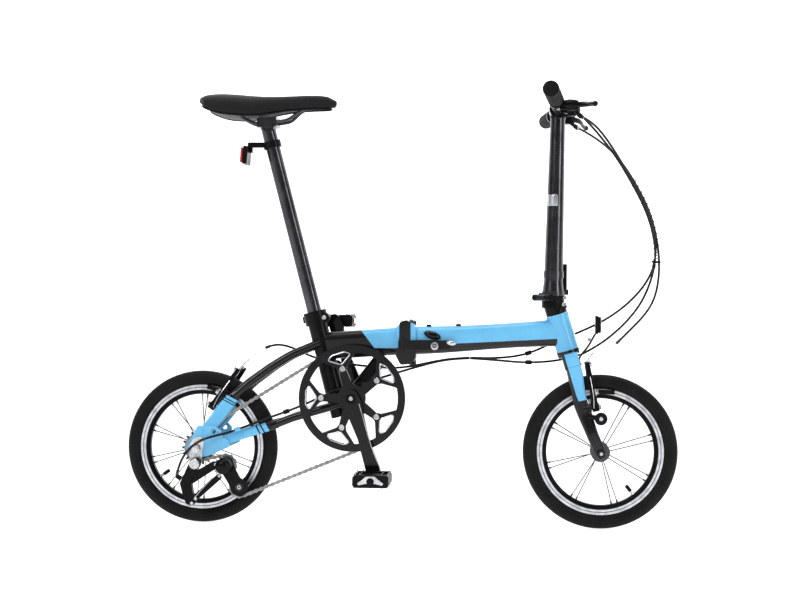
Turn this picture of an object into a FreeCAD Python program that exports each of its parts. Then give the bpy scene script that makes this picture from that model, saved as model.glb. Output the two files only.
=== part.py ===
"""Folding bicycle with small wheels, a mid-beam hinge, a folding handlepost and a telescoping seatpost.

Millimetres. +X forwards, +Y to the rider's left, +Z up. The origin is on the floor, midway between
the wheels and in their plane. Stations passed to at() are measured forwards from the rear axle.
"""
import FreeCAD, Part
import Sketcher
import math
import os
from FreeCAD import Placement, Rotation, Vector

doc = FreeCAD.newDocument("folding_bicycle")

# ---------------------------------------------------------------- driving dimensions
SIZES = [
    ("wheelbase", 851),
    ("tyre_radius", 163), ("tyre_half_width", 17.5), ("bead_radius", 127.2), ("sidewall_radius", 146),
    ("rim_radius", 133), ("rim_half_width", 11.5), ("rim_track_foot", 118), ("rim_inner_radius", 113),
    ("spoke_radius", 1), ("spoke_spread", 3.3), ("front_spoke_pairs", 8), ("rear_spoke_pairs", 10),
    ("axle_radius", 5), ("running_clearance", 0.05), ("joint_gap", 0.3),
    ("front_dropout_inner", 37), ("rear_dropout_inner", 60), ("dropout_thickness", 6),
    ("front_hub_end", 34), ("rear_hub_end", 55),
    ("bracket_station", 328), ("bracket_height", 273), ("bracket_shell_radius", 20),
    ("bracket_bore", 17), ("bracket_half_width", 34), ("spindle_radius", 8.5),
    ("crank_length", 170), ("crank_angle", -72.3), ("bolt_circle_radius", 65), ("spider_arms", 5),
    ("chain_pitch", 12.7), ("roller_radius", 3.3), ("roller_seat", 3.95), ("chain_line", 46),
    ("chain_half_height", 4),
    ("chainring_teeth", 53), ("small_cog_teeth", 9), ("middle_cog_teeth", 13), ("large_cog_teeth", 17),
    ("pulley_teeth", 10), ("cog_spacing", 5), ("sprocket_thickness", 2),
    ("guard_radius", 113), ("guard_inner_radius", 99.5), ("guard_thickness", 2.5), ("guard_face", 50.4),
    ("seat_tube_radius", 20.5), ("post_bore", 15.5), ("post_radius", 15.4), ("post_wall", 2.4),
    ("seat_tilt", 14.7), ("post_length", 545), ("collar_radius", 25), ("collar_height", 28),
    ("skewer_radius", 3),
    ("beam_half_width", 20), ("casting_half_width", 24), ("hinge_station", 449),
    ("hinge_offset", 34), ("hinge_lug_radius", 9), ("hinge_pin_radius", 5),
    ("head_angle", 16.8), ("head_tube_radius", 23.5), ("head_tube_length", 84), ("cup_height", 5),
    ("steerer_radius", 14.3), ("boss_pin_radius", 4), ("brake_sleeve_radius", 8),
    ("handlepost_foot_radius", 20.5), ("handlepost_top_radius", 15.4), ("handlepost_height", 492),
    ("handlepost_top", 868), ("post_hinge_radius", 7),
    ("bar_half_width", 270), ("bar_radius", 11.1), ("bar_centre_radius", 12.7), ("bar_height", 886),
    ("grip_radius", 16.5), ("grip_length", 126), ("housing_radius", 2.5),
    ("pedal_axle_radius", 6), ("pedal_length", 74), ("pedal_inner", 84), ("pedal_outer", 174),
    ("pedal_half_height", 13), ("rail_radius", 3.5), ("rail_spacing", 21.5),
]
sheet = doc.addObject("Spreadsheet::Sheet", "Sizes")
for row, (alias, amount) in enumerate(SIZES, start=1):
    sheet.set(f"A{row}", alias)
    sheet.set(f"B{row}", str(amount))
    sheet.setAlias(f"B{row}", alias)
doc.recompute()


def size(alias):
    """The plain number in the named cell."""
    return float(sheet.get(alias))


FRONT = size("wheelbase")
MID = FRONT / 2
AXLE_Z = size("tyre_radius")
Y_AXIS = Vector(0, 1, 0)
SIDE = Rotation(Vector(1, 0, 0), 90)      # sketch x forwards, sketch y up, pad towards the right side
nodes = []


def at(x, y, z):
    """The point x forwards of the rear axle, y to the left and z above the floor."""
    return Vector(x - MID, y, z)


def node(obj, label):
    """Gives a finished sub-part its label and lists it for export."""
    obj.Label = label
    nodes.append(obj)
    return obj


def bind(obj, **formulas):
    """Binds properties to formulas of sheet cells, such as 'Sizes.rim_radius - 2'."""
    for prop, formula in formulas.items():
        obj.setExpression(prop, str(formula))
    return obj


# ---------------------------------------------------------------- primitives and booleans
def cylinder(name, start, direction, radius, length):
    """A cylinder from start along direction; radius and length are formulas."""
    made = bind(doc.addObject("Part::Cylinder", name), Radius=radius, Height=length)
    made.Placement = Placement(start, Rotation(Vector(0, 0, 1), direction))
    return made


def cross_cylinder(name, x, z, inner, outer, radius):
    """A cylinder along Y at station x and height z, from y = inner to y = outer (numbers)."""
    low, high = min(inner, outer), max(inner, outer)
    return cylinder(name, at(x, low, z), Y_AXIS, radius, high - low)


def cone(name, start, direction, foot, top, length):
    made = bind(doc.addObject("Part::Cone", name), Radius1=foot, Radius2=top, Height=length)
    made.Placement = Placement(start, Rotation(Vector(0, 0, 1), direction))
    return made


def box(name, low, high, turn=None):
    """A box between two corners, turned about its low corner if turn is given."""
    made = bind(doc.addObject("Part::Box", name), Length=high[0] - low[0],
                Width=high[1] - low[1], Height=high[2] - low[2])
    made.Placement = Placement(at(*low), turn or Rotation())
    return made


def fuse(name, *parts):
    made = doc.addObject("Part::MultiFuse", name)
    made.Shapes = list(parts)
    return made


def cut(name, base, *tools):
    made = doc.addObject("Part::Cut", name)
    made.Base = base
    made.Tool = tools[0] if len(tools) == 1 else fuse(name + "_tools", *tools)
    return made


def group(name, *parts):
    made = doc.addObject("Part::Compound", name)
    made.Links = list(parts)
    return made


def mirrored(name, source):
    """The same piece on the other side of the wheel plane."""
    made = doc.addObject("Part::Mirroring", name)
    made.Source = source
    made.Normal = Y_AXIS
    return made


def feature(name, shape):
    made = doc.addObject("Part::Feature", name)
    made.Shape = shape
    return made


def rounded(name, base, radius, pick):
    """Part::Fillet on the edges of base that pick accepts."""
    doc.recompute()
    made = doc.addObject("Part::Fillet", name)
    made.Base = base
    made.Edges = [(i, radius, radius) for i, edge in enumerate(base.Shape.Edges, start=1) if pick(edge)]
    return made


# ---------------------------------------------------------------- sketches and bodies
def outline(points):
    """Lines and corner arcs of a closed outline from (x, y) or (x, y, corner radius) points."""
    corners = [Vector(p[0], p[1], 0) for p in points]
    radii = [p[2] if len(p) > 2 else 0 for p in points]
    count = len(points)
    ends, arcs = [], []
    for i, corner in enumerate(corners):
        back, ahead = corners[i - 1] - corner, corners[(i + 1) % count] - corner
        half_turn = (math.pi - back.getAngle(ahead)) / 2
        trim = min(radii[i] * math.tan(half_turn), 0.49 * back.Length, 0.49 * ahead.Length)
        if trim < 1e-6:
            ends.append((corner, corner))
            arcs.append(None)
            continue
        radius = trim / math.tan(half_turn)
        back.normalize()
        ahead.normalize()
        inward = back + ahead
        inward.normalize()
        first, last = corner + back * trim, corner + ahead * trim
        middle = corner + inward * (radius / math.cos(half_turn) - radius)
        ends.append((first, last))
        arcs.append(Part.Arc(first, middle, last))
    edges = []
    for i in range(count):
        if arcs[i]:
            edges.append(arcs[i])
        start, stop = ends[i][1], ends[(i + 1) % count][0]
        if (stop - start).Length > 1e-6:
            edges.append(Part.LineSegment(start, stop))
    return edges


def toothed_outline(teeth, phase):
    """A sprocket's outline about the origin: one roller seat per pitch, the first at phase radians."""
    pitch_radius = size("chain_pitch") / (2 * math.sin(math.pi / teeth))
    seat = size("roller_seat")
    tip = pitch_radius + 2.1

    def turned(radial, side, angle):
        return Vector(radial * math.cos(angle) - side * math.sin(angle),
                      radial * math.sin(angle) + side * math.cos(angle), 0)

    edges = []
    for k in range(teeth):
        here, following = (phase + 2 * math.pi * n / teeth for n in (k, k + 1))
        seat_edges = [turned(pitch_radius, side, here) for side in (-seat, seat)]
        flank = seat + 1.95
        tips = [turned(tip, side, here) for side in (-flank, flank)]
        next_tip = turned(tip, -flank, following)
        edges += [
            Part.LineSegment(tips[0], seat_edges[0]),
            Part.Arc(seat_edges[0], turned(pitch_radius - seat, 0, here), seat_edges[1]),
            Part.LineSegment(seat_edges[1], tips[1]),
            Part.LineSegment(tips[1], next_tip),
        ]
    return edges


def plane_of(body, role):
    return next(f for f in body.Origin.OriginFeatures if f.Role == role)


def sketch(body, name, edges, circles=(), lift=0):
    """A sketch on the body's XY plane, lifted along Z, with edges and (x, y, radius formula) circles."""
    made = body.newObject("Sketcher::SketchObject", name)
    made.AttachmentSupport = [(plane_of(body, "XY_Plane"), "")]
    made.MapMode = "FlatFace"
    made.AttachmentOffset = Placement(Vector(0, 0, lift), Rotation())
    if edges:
        made.addGeometry(edges, False)
    for x, y, radius in circles:
        index = made.addGeometry(Part.Circle(Vector(x, y, 0), Vector(0, 0, 1), 1), False)
        rule = made.addConstraint(Sketcher.Constraint("Radius", index, 1.0))
        made.setExpression(f"Constraints[{rule}]", str(radius))
    return made


def pad(body, name, profile, length, backwards=False):
    made = body.newObject("PartDesign::Pad", name)
    made.Profile = profile
    made.Reversed = backwards
    bind(made, Length=length)
    return made


def pocket(body, name, profile):
    """Cuts the profile through the whole body, both ways."""
    made = body.newObject("PartDesign::Pocket", name)
    made.Profile = profile
    made.Type = "ThroughAll"
    made.Midplane = True
    return made


def polar(body, name, originals, count):
    made = body.newObject("PartDesign::PolarPattern", name)
    made.Originals = originals
    made.Axis = (plane_of(body, "Z_Axis"), [""])
    made.Angle = 360
    bind(made, Occurrences=count)
    body.Tip = made
    return made


def plate(name, points, near, thickness, circles=()):
    """A side-view plate: its outline in stations and heights, from y = near towards the right side.

    thickness is a formula; circles are (station, height, radius formula) holes through it."""
    body = doc.addObject("PartDesign::Body", name)
    local = [(p[0] - MID, *p[1:]) for p in points]
    holes = [(x - MID, z, radius) for x, z, radius in circles]
    profile = sketch(body, name + "_outline", outline(local), holes)
    pad(body, name + "_pad", profile, thickness)
    body.Placement = Placement(Vector(0, near, 0), SIDE)
    return body


def revolved(name, points, centre, direction=None):
    """A PartDesign revolution of (radius, along) points about the axis through centre."""
    body = doc.addObject("PartDesign::Body", name)
    profile = sketch(body, name + "_section", outline(points))
    turn = body.newObject("PartDesign::Revolution", name + "_turn")
    turn.Profile = profile
    turn.ReferenceAxis = (profile, ["V_Axis"])
    turn.Angle = 360
    body.Placement = Placement(centre, Rotation(Y_AXIS, direction or Y_AXIS))
    return body


# ---------------------------------------------------------------- swept and lofted members
def rounded_path(points, bend=None):
    """Straight runs joined by tangent arcs, and the arcs' radii.

    Without bend, each arc takes 0.45 of the shorter of its two runs; with it, arcs have that radius
    where their runs have room."""
    edges, radii, start = [], [], points[0]
    for before, corner, after in zip(points, points[1:], points[2:]):
        back, ahead = before - corner, after - corner
        half_turn = (math.pi - back.getAngle(ahead)) / 2
        trim = 0.45 * min(back.Length, ahead.Length)
        if bend:
            trim = min(trim, bend * math.tan(half_turn))
        radius = trim / math.tan(half_turn)
        back.normalize()
        ahead.normalize()
        inward = back + ahead
        inward.normalize()
        first, last = corner + back * trim, corner + ahead * trim
        middle = corner + inward * (radius / math.cos(half_turn) - radius)
        edges.append(Part.LineSegment(start, first).toShape())
        edges.append(Part.Arc(first, middle, last).toShape())
        radii.append(radius)
        start = last
    edges.append(Part.LineSegment(start, points[-1]).toShape())
    return Part.Wire(edges), radii


def tube_shape(points, radius, bend=None):
    """A round solid swept along the rounded path, and the path's wire and arc radii."""
    path, radii = rounded_path(points, bend)
    profile = Part.Wire([Part.makeCircle(radius, points[0], points[1] - points[0])])
    solid = path.makePipeShell([profile], True, False)
    return solid, path, radii


def bent_rod(name, points, radius, bend=None):
    return feature(name, tube_shape([at(*p) for p in points], radius, bend)[0])


def housing(name, points):
    """A cable housing along its route; its radii, length and volume are printed."""
    radius = size("housing_radius")
    solid, path, radii = tube_shape([at(*p) for p in points], radius)
    share = solid.Volume / (math.pi * radius ** 2 * path.Length)
    print(f"{name}: length {path.Length:.0f}, arc radii {[round(r) for r in radii]}, fill {share:.4f}")
    return feature(name, solid)


def slab_wire(centre, along, width, thickness, corner_share=0.45):
    """A rounded rectangle across the direction along: width in the side view, thickness along Y."""
    along = Vector(along).normalize()
    up = Y_AXIS.cross(along).normalize()
    corner = corner_share * min(width, thickness)
    half_w, half_t = width / 2, thickness / 2
    flat = outline([(half_w, half_t, corner), (-half_w, half_t, corner),
                    (-half_w, -half_t, corner), (half_w, -half_t, corner)])
    wire = Part.Wire([edge.toShape() for edge in flat])
    matrix = FreeCAD.Matrix(up.x, 0, along.x, centre.x, up.y, 1, along.y, centre.y,
                            up.z, 0, along.z, centre.z, 0, 0, 0, 1)
    wire.Placement = Placement(matrix)
    return wire


def lofted(name, stations):
    """A smooth bar through slab sections: (point, direction, side-view width, thickness along Y)."""
    wires = [slab_wire(at(*p), Vector(d[0], 0, d[1]), w, t) for p, d, w, t in stations]
    return feature(name, Part.makeLoft(wires, True, False))


# ---------------------------------------------------------------- shared axes
SEAT_UP = Vector(-math.sin(math.radians(size("seat_tilt"))), 0, math.cos(math.radians(size("seat_tilt"))))
SEAT_MARK = (243.9, 441.5)                  # where the seat axis passes through the clamp collar
STEER_UP = Vector(-math.sin(math.radians(size("head_angle"))), 0, math.cos(math.radians(size("head_angle"))))
CROWN = (783.3, 371.2)                      # where the steering axis leaves the fork crown
POST_FOOT = (749.9, size("handlepost_height"))
POST_UP = Vector(0.0205, 0, 1).normalize()
POST_HINGE = (727, -22, 488)
POST_HINGE_AXIS = Vector(1, -1, 0).normalize()
BRACKET = (size("bracket_station"), size("bracket_height"))
CLAMP_AXIS = (263.5, 442.5)
CLAMP_PIN_Y = 24.5
LATCH_PIVOT = (429, -30)
REAR_BOSS = (49.5, -45, 238.7)


def on_seat_axis(height):
    """The point of the seat axis at that height above the floor, as (station, 0, height)."""
    slope = math.tan(math.radians(size("seat_tilt")))
    return SEAT_MARK[0] - (height - SEAT_MARK[1]) * slope, 0, height


def on_steering_axis(distance):
    """The point of the steering axis that far above the crown, as (station, 0, height)."""
    return CROWN[0] + STEER_UP.x * distance, 0, CROWN[1] + STEER_UP.z * distance


def on_post_axis(height):
    return POST_FOOT[0] + (height - POST_FOOT[1]) * POST_UP.x / POST_UP.z, 0, height


# ---------------------------------------------------------------- chain run
def pitch_radius(teeth):
    return size("chain_pitch") / (2 * math.sin(math.pi / teeth))


class Wrap:
    """A sprocket in the chain's run: turn is +1 where the chain goes round it forwards, else -1."""

    def __init__(self, x, z, teeth, turn):
        self.centre = Vector(x, z, 0)
        self.teeth = teeth
        self.turn = turn
        self.radius = pitch_radius(teeth)
        self.enters = self.leaves = self.phase = 0.0


def tangent_angles(one, other):
    """The angles on both sprockets where the straight run from one to the other touches them."""
    gap = other.centre - one.centre
    heading = math.atan2(gap.y, gap.x)
    lean = math.asin((one.turn * one.radius - other.turn * other.radius) / gap.Length)
    across = heading - lean
    return across + one.turn * math.pi / 2, across + other.turn * math.pi / 2


def chain_wraps():
    """The four sprockets in the order the chain meets them, with where it meets and leaves each."""
    wraps = [
        Wrap(BRACKET[0], BRACKET[1], int(size("chainring_teeth")), 1),
        Wrap(TENSION[0], TENSION[1], int(size("pulley_teeth")), 1),
        Wrap(GUIDE[0], GUIDE[1], int(size("pulley_teeth")), -1),
        Wrap(0, AXLE_Z, int(size("middle_cog_teeth")), 1),
    ]
    for one, other in zip(wraps, wraps[1:] + wraps[:1]):
        one.leaves, other.enters = tangent_angles(one, other)
    return wraps


def wrap_angle(wrap):
    """How far the chain goes round a sprocket, in radians; it runs clockwise seen from the right."""
    sweep = (wrap.enters - wrap.leaves) * wrap.turn
    return sweep % (2 * math.pi)


def end_point(wrap, angle, offset=0.0):
    radius = wrap.radius + wrap.turn * offset
    return wrap.centre + Vector(math.cos(angle), math.sin(angle), 0) * radius


def link_count(wraps):
    total = 0.0
    for one, other in zip(wraps, wraps[1:] + wraps[:1]):
        total += (end_point(other, other.enters) - end_point(one, one.leaves)).Length / size("chain_pitch")
        total += wrap_angle(one) * one.teeth / (2 * math.pi)
    return total


def roller_centres(wraps):
    """One point per chain link, an even number of them; sets each sprocket's phase to a roller on it.

    The lower run from the chainring takes up the fraction of a pitch that the loop is over or short."""
    pitch = size("chain_pitch")
    count = 2 * round(link_count(wraps) / 2)
    slack = count - link_count(wraps)
    points, owed = [], 0.0
    for one, other in zip(wraps, wraps[1:] + wraps[:1]):
        per_radian = one.teeth / (2 * math.pi)
        share = wrap_angle(one) * per_radian
        one.phase = one.enters - one.turn * owed / per_radian
        while owed < share - 1e-6:
            points.append(end_point(one, one.enters - one.turn * owed / per_radian))
            owed += 1
        owed -= share
        start, stop = end_point(one, one.leaves), end_point(other, other.enters)
        share = (stop - start).Length / pitch + slack
        while owed < share - 1e-6:
            points.append(start + (stop - start) * (owed / share))
            owed += 1
        owed -= share
        slack = 0.0
    print(f"chain: {count} links, {len(points)} rollers")
    return points


def run_wire(wraps, offset):
    """The chain's run shifted outwards by offset, as a closed wire in the side view."""
    edges = []
    for one, other in zip(wraps, wraps[1:] + wraps[:1]):
        middle = one.enters - one.turn * wrap_angle(one) / 2
        edges.append(Part.Arc(end_point(one, one.enters, offset), end_point(one, middle, offset),
                              end_point(one, one.leaves, offset)).toShape())
        edges.append(Part.LineSegment(end_point(one, one.leaves, offset),
                                      end_point(other, other.enters, offset)).toShape())
    return Part.Wire(edges)


TENSION = (89, 81.5)
GUIDE = (59, 128)
WRAPS = chain_wraps()
ROLLERS = roller_centres(WRAPS)


def standing(shape, y):
    """A side-view shape in stations and heights, set at y with its thickness towards the right."""
    shape = shape.copy()
    shape.Placement = Placement(Vector(-MID, y, 0), SIDE)
    return shape


def chain_band(half):
    """The chain's run as a flat ring in the side view, reaching half to each side of its pitch line."""
    band = Part.Face([run_wire(WRAPS, half), run_wire(WRAPS, -half)])
    band.validate()
    return band


def chain():
    band = chain_band(size("chain_half_height"))
    links = [standing(band.extrude(Vector(0, 0, 1.3)), y - size("chain_line")) for y in (3.8, -2.5)]
    for centre in ROLLERS:
        roller = Part.makeCylinder(size("roller_radius"), 5.0, centre)
        links.append(standing(roller, 2.5 - size("chain_line")))
    return node(feature("chain_run", Part.makeCompound(links)), "chain")


def sprocket(name, wrap, line, bore, thickness="Sizes.sprocket_thickness", teeth=None):
    """A toothed disc body about the wrap's centre, its middle plane on the line y = -line."""
    body = doc.addObject("PartDesign::Body", name)
    profile = sketch(body, name + "_teeth", toothed_outline(teeth or wrap.teeth, wrap.phase), [(0, 0, bore)])
    pad(body, name + "_pad", profile, thickness)
    outer = size("sprocket_thickness") / 2 - line
    body.Placement = Placement(at(wrap.centre.x, outer, wrap.centre.y), SIDE)
    return body


# ---------------------------------------------------------------- wheels
def tyre(prefix, x):
    r, w = size("tyre_radius"), size("tyre_half_width")
    bead, side = size("bead_radius"), size("sidewall_radius")
    points = [(r, 6, 9), (side + 7, w, 12), (side - 8, w, 8), (size("rim_radius") + 0.6, 9.4, 2),
              (bead, 9.4), (bead, 5.6), (size("rim_radius"), 6.6, 2), (side - 6, w - 3.2, 8),
              (side + 5, w - 3.2, 9), (r - 3.6, 4, 6)]
    far = [(p[0], -p[1], *p[2:]) for p in reversed(points)]
    return node(revolved(prefix + "_tyre_body", points + far, at(x, 0, AXLE_Z)), prefix + "_tyre")


def rim(prefix, x):
    r, w = size("rim_radius"), size("rim_half_width")
    foot, inner, bed = size("rim_track_foot"), size("rim_inner_radius"), size("bead_radius")
    points = [(r, w), (r, 9.5), (bed, 9.5), (bed - 2.5, 6, 2), (bed - 2.5, -6, 2), (bed, -9.5), (r, -9.5),
              (r, -w), (foot, -w, 1), (inner, -6.5, 3), (inner, 6.5, 3), (foot, w, 1)]
    return node(revolved(prefix + "_rim_body", points, at(x, 0, AXLE_Z)), prefix + "_rim")


def hub(prefix, x, half, flange_radius, barrel_radius, left_flange, right_flange):
    bore = size("axle_radius") + size("running_clearance")
    points = [(bore, half), (11, half, 1), (11, left_flange + 3), (flange_radius, left_flange + 3, 1),
              (flange_radius, left_flange, 1), (barrel_radius, left_flange - 2, 3),
              (barrel_radius, right_flange + 2, 3), (flange_radius, right_flange, 1),
              (flange_radius, right_flange - 3, 1), (11, right_flange - 3), (11, -half, 1), (bore, -half)]
    return node(revolved(prefix + "_hub_body", points, at(x, 0, AXLE_Z)), prefix + "_hub")


def spokes(prefix, x, pairs, first_angle, hub_radius, left_flange, right_flange):
    """Radial spokes in close pairs, one of each pair to either hub flange."""
    made = []
    spread = math.radians(size("spoke_spread"))
    for k in range(pairs):
        centre = math.radians(first_angle) + 2 * math.pi * k / pairs
        for side, flange in ((1, left_flange + 1.5), (-1, right_flange - 1.5)):
            foot_angle, rim_angle = centre + 2 * side * spread, centre + side * spread
            foot = at(x + hub_radius * math.cos(foot_angle), flange, AXLE_Z + hub_radius * math.sin(foot_angle))
            reach = size("rim_inner_radius") + 1
            tip = at(x + reach * math.cos(rim_angle), 2 * side, AXLE_Z + reach * math.sin(rim_angle))
            made.append(cylinder(f"{prefix}_spoke_{k}_{'left' if side > 0 else 'right'}", foot, tip - foot,
                                 "Sizes.spoke_radius", (tip - foot).Length))
    return node(group(prefix + "_spoke_set", *made), prefix + "_spokes")


def axle(prefix, x, dropout_inner, outer_faces, hub_end):
    """The axle with its cones inside the dropouts and its nuts outside them.

    outer_faces are the seats of the right and left nuts."""
    right, left = outer_faces
    parts = [cross_cylinder(prefix + "_axle_rod", x, AXLE_Z, -right - 13, left + 13, "Sizes.axle_radius")]
    for side, dropout_outer in ((-1, right), (1, left)):
        washer = dropout_outer + 2
        parts.append(cross_cylinder(f"{prefix}_cone_{side}", x, AXLE_Z, side * (hub_end + 0.4),
                                    side * dropout_inner, "Sizes.axle_radius + 3.5"))
        parts.append(cross_cylinder(f"{prefix}_washer_{side}", x, AXLE_Z, side * dropout_outer,
                                    side * washer, "Sizes.axle_radius + 4.5"))
        nut = doc.addObject("Part::Prism", f"{prefix}_nut_{side}")
        bind(nut, Circumradius="Sizes.axle_radius + 3.6", Height=8)
        nut.Polygon = 6
        nut.Placement = Placement(at(x, min(side * washer, side * (washer + 8)), AXLE_Z),
                                  Rotation(Vector(0, 0, 1), Y_AXIS))
        parts.append(nut)
    return node(fuse(prefix + "_axle_set", *parts), prefix + "_axle")


def cassette():
    wrap = WRAPS[3]
    bore = "Sizes.axle_radius + 6.05"
    line, step = size("chain_line"), size("cog_spacing")
    cogs = [sprocket("middle_cog", wrap, line, bore),
            sprocket("small_cog", wrap, line + step, bore, teeth=int(size("small_cog_teeth"))),
            sprocket("large_cog", wrap, line - step, bore, teeth=int(size("large_cog_teeth")))]
    body = cross_cylinder("freewheel_shell", 0, AXLE_Z, -(line - step - 3), -(line + step + 2.5), 14)
    bored = cut("freewheel_body", body, cross_cylinder("freewheel_bore", 0, AXLE_Z, -30, -60, bore))
    return node(fuse("cassette_set", bored, *cogs), "cassette")


# ---------------------------------------------------------------- crankset and pedals
def crank_point(angle, radius):
    turn = math.radians(angle)
    return BRACKET[0] + radius * math.cos(turn), BRACKET[1] + radius * math.sin(turn)


def arm_outline(angle, root, tip, waist, reach):
    """A crank arm's side view: rounded boss at the spindle, slim waist, rounded boss at the pedal."""
    points = []
    for radial, half in ((-root, root * 0.7), (root * 0.5, root), (reach * 0.5, waist), (reach - tip, tip),
                         (reach + tip, tip * 0.8)):
        points.append((radial, half))
    both = points + [(radial, -half) for radial, half in reversed(points)]
    turn = math.radians(angle)
    return [(BRACKET[0] + r * math.cos(turn) - s * math.sin(turn),
             BRACKET[1] + r * math.sin(turn) + s * math.cos(turn), 14) for r, s in both]


def crank(side, angle):
    """An arm with its pedal axle; the right one carries the spider and the spindle."""
    name = "crank_right" if side < 0 else "crank_left"
    pedal_x, pedal_z = crank_point(angle, size("crank_length"))
    near = -58 if side < 0 else 74
    parts = [
        plate(name + "_arm", arm_outline(angle, 19, 15, 11.5, size("crank_length")), near, 16),
        cross_cylinder(name + "_pedal_axle", pedal_x, pedal_z, side * 70,
                       side * (size("pedal_outer") - 6), "Sizes.pedal_axle_radius"),
        cross_cylinder(name + "_pedal_collar", pedal_x, pedal_z, side * 74,
                       side * (size("pedal_inner") - 1), "Sizes.pedal_axle_radius + 3"),
    ]
    if side < 0:
        parts.append(cross_cylinder("spindle", *BRACKET, -60, 66, "Sizes.spindle_radius"))
        parts.append(cross_cylinder("spider_boss", *BRACKET, -53, -60, 30))
        for k in range(int(size("spider_arms"))):
            bolt_angle = angle + 36 + 72 * k
            x, z = crank_point(bolt_angle, size("bolt_circle_radius"))
            parts.append(cross_cylinder(f"spider_pad_{k}", x, z, -53, -58, 8))
            turn = math.radians(bolt_angle)
            across = (-math.sin(turn), math.cos(turn))
            inner = crank_point(bolt_angle, 20)
            arm = [(inner[0] + 11 * across[0], inner[1] + 11 * across[1]),
                   (inner[0] - 11 * across[0], inner[1] - 11 * across[1]),
                   (x - 7 * across[0], z - 7 * across[1]), (x + 7 * across[0], z + 7 * across[1])]
            parts.append(plate(f"spider_arm_{k}", arm, -53, 5.5))
        return node(fuse(name + "_set", *parts), name)
    whole = fuse(name + "_set", *parts)
    bore = cross_cylinder("left_spindle_bore", *BRACKET, 50, 66, "Sizes.spindle_radius")
    return node(cut(name + "_bored", whole, bore), name)


def chainring():
    """The toothed ring, and outside it a guard ring held by five window-framed struts."""
    wrap = WRAPS[0]
    face = -size("guard_face")
    teeth = sprocket("ring_teeth", wrap, size("chain_line"), 97)
    spacer = cross_cylinder("ring_spacer", *BRACKET, -45, face, 100.5)
    hollow = cross_cylinder("ring_spacer_bore", *BRACKET, -44, face - 1, 97)
    guard = doc.addObject("PartDesign::Body", "guard")
    ring = sketch(guard, "guard_ring", [], [(0, 0, "Sizes.guard_radius"), (0, 0, "Sizes.guard_inner_radius")])
    pad(guard, "guard_ring_pad", ring, "Sizes.guard_thickness")
    start = math.radians(size("crank_angle") + 36)
    pattern = []

    def polar_points(points):
        return [(r * math.cos(start + math.radians(a)), r * math.sin(start + math.radians(a)), c)
                for r, a, c in points]

    strut = sketch(guard, "guard_strut", outline(polar_points(
        [(101, -24, 0), (106, -12, 0), (106, 12, 0), (101, 24, 0), (94, 21, 5), (70, 9, 6), (58, 6, 6),
         (58, -6, 6), (70, -9, 6), (94, -21, 5)])))
    pattern.append(pad(guard, "guard_strut_pad", strut, "Sizes.guard_thickness"))
    bolt = (size("bolt_circle_radius") * math.cos(start), size("bolt_circle_radius") * math.sin(start), 4)
    window = sketch(guard, "guard_window", outline(polar_points(
        [(94, -15.5, 5), (98.5, -8, 10), (98.5, 8, 10), (94, 15.5, 5), (75, 0, 6)])), [bolt])
    cut_out = pocket(guard, "guard_window_cut", window)
    polar(guard, "guard_struts", [pattern[0], cut_out], "Sizes.spider_arms")
    guard.Placement = Placement(at(BRACKET[0], face, BRACKET[1]), SIDE)
    return node(fuse("chainring_set", teeth, cut("ring_spacer_tube", spacer, hollow), guard), "chainring")


def pedal(side, angle):
    """A caged platform about a barrel that turns on the crank's pedal axle."""
    name = "pedal_right" if side < 0 else "pedal_left"
    x, z = crank_point(angle, size("crank_length"))
    inner, outer = side * size("pedal_inner"), side * size("pedal_outer")
    low, high = min(inner, outer), max(inner, outer)
    half, rise = size("pedal_length") / 2, size("pedal_half_height")
    block = box(name + "_block", (x - half, low, z - rise), (x + half, high, z + rise))
    block = rounded(name + "_rounded", block, 7, lambda e: abs(e.tangentAt(e.FirstParameter).y) > 0.9)
    windows = [box(f"{name}_window_{i}", (x + a, low + 9, z - 20), (x + b, high - 9, z + 20))
               for i, (a, b) in enumerate(((-half + 5, -13), (13, half - 5)))]
    recesses = [box(f"{name}_recess_{i}", (x - 14, low + 9, z + a), (x + 14, high - 9, z + b))
                for i, (a, b) in enumerate(((9.5, 20), (-20, -9.5)))]
    bore = cross_cylinder(name + "_bore", x, z, inner - side * 1, outer - side * 5,
                          "Sizes.pedal_axle_radius + Sizes.running_clearance")
    return node(cut(name + "_cage", block, bore, *windows, *recesses), name)


# ---------------------------------------------------------------- rear frame
def seat_cylinder(name, low, high, radius):
    """A cylinder about the seat axis between two heights."""
    start, stop = at(*on_seat_axis(low)), at(*on_seat_axis(high))
    return cylinder(name, start, SEAT_UP, radius, (stop - start).Length)


def seat_tube():
    shell = cross_cylinder("bracket_shell", *BRACKET, -size("bracket_half_width"),
                           size("bracket_half_width"), "Sizes.bracket_shell_radius")
    strut = lofted("down_strut", [((330, 0, 285), (0.75, 0.66), 30, 34),
                                  ((385, 0, 356), (0.75, 0.66), 30, 32)])
    sleeve = seat_cylinder("seat_sleeve", 231, 453, "Sizes.seat_tube_radius")
    whole = fuse("seat_tube_weld", sleeve, shell, strut)
    bore = seat_cylinder("post_bore_tool", 200, 480, "Sizes.post_bore")
    shell_bore = cross_cylinder("shell_bore", *BRACKET, -40, 40, "Sizes.bracket_bore")
    notch = cross_cylinder("skewer_notch", *CLAMP_AXIS, -30, 30, "Sizes.skewer_radius + Sizes.joint_gap")
    slit = box("sleeve_slit", (CLAMP_AXIS[0] - 8, -1.2, 410), (CLAMP_AXIS[0] + 12, 1.2, 470))
    return node(cut("seat_tube_bored", whole, bore, shell_bore, notch, slit), "seat_tube")


def hinge_web(name, x_low, x_high, z_low, z_high):
    """The strap that joins a hinge lug to its casting."""
    return box(name, (x_low, 18, z_low), (x_high, size("hinge_offset"), z_high))


def hinge_lug(name, z_low, z_high):
    return cylinder(name, at(size("hinge_station"), size("hinge_offset"), z_low), Vector(0, 0, 1),
                    "Sizes.hinge_lug_radius", z_high - z_low)


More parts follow.
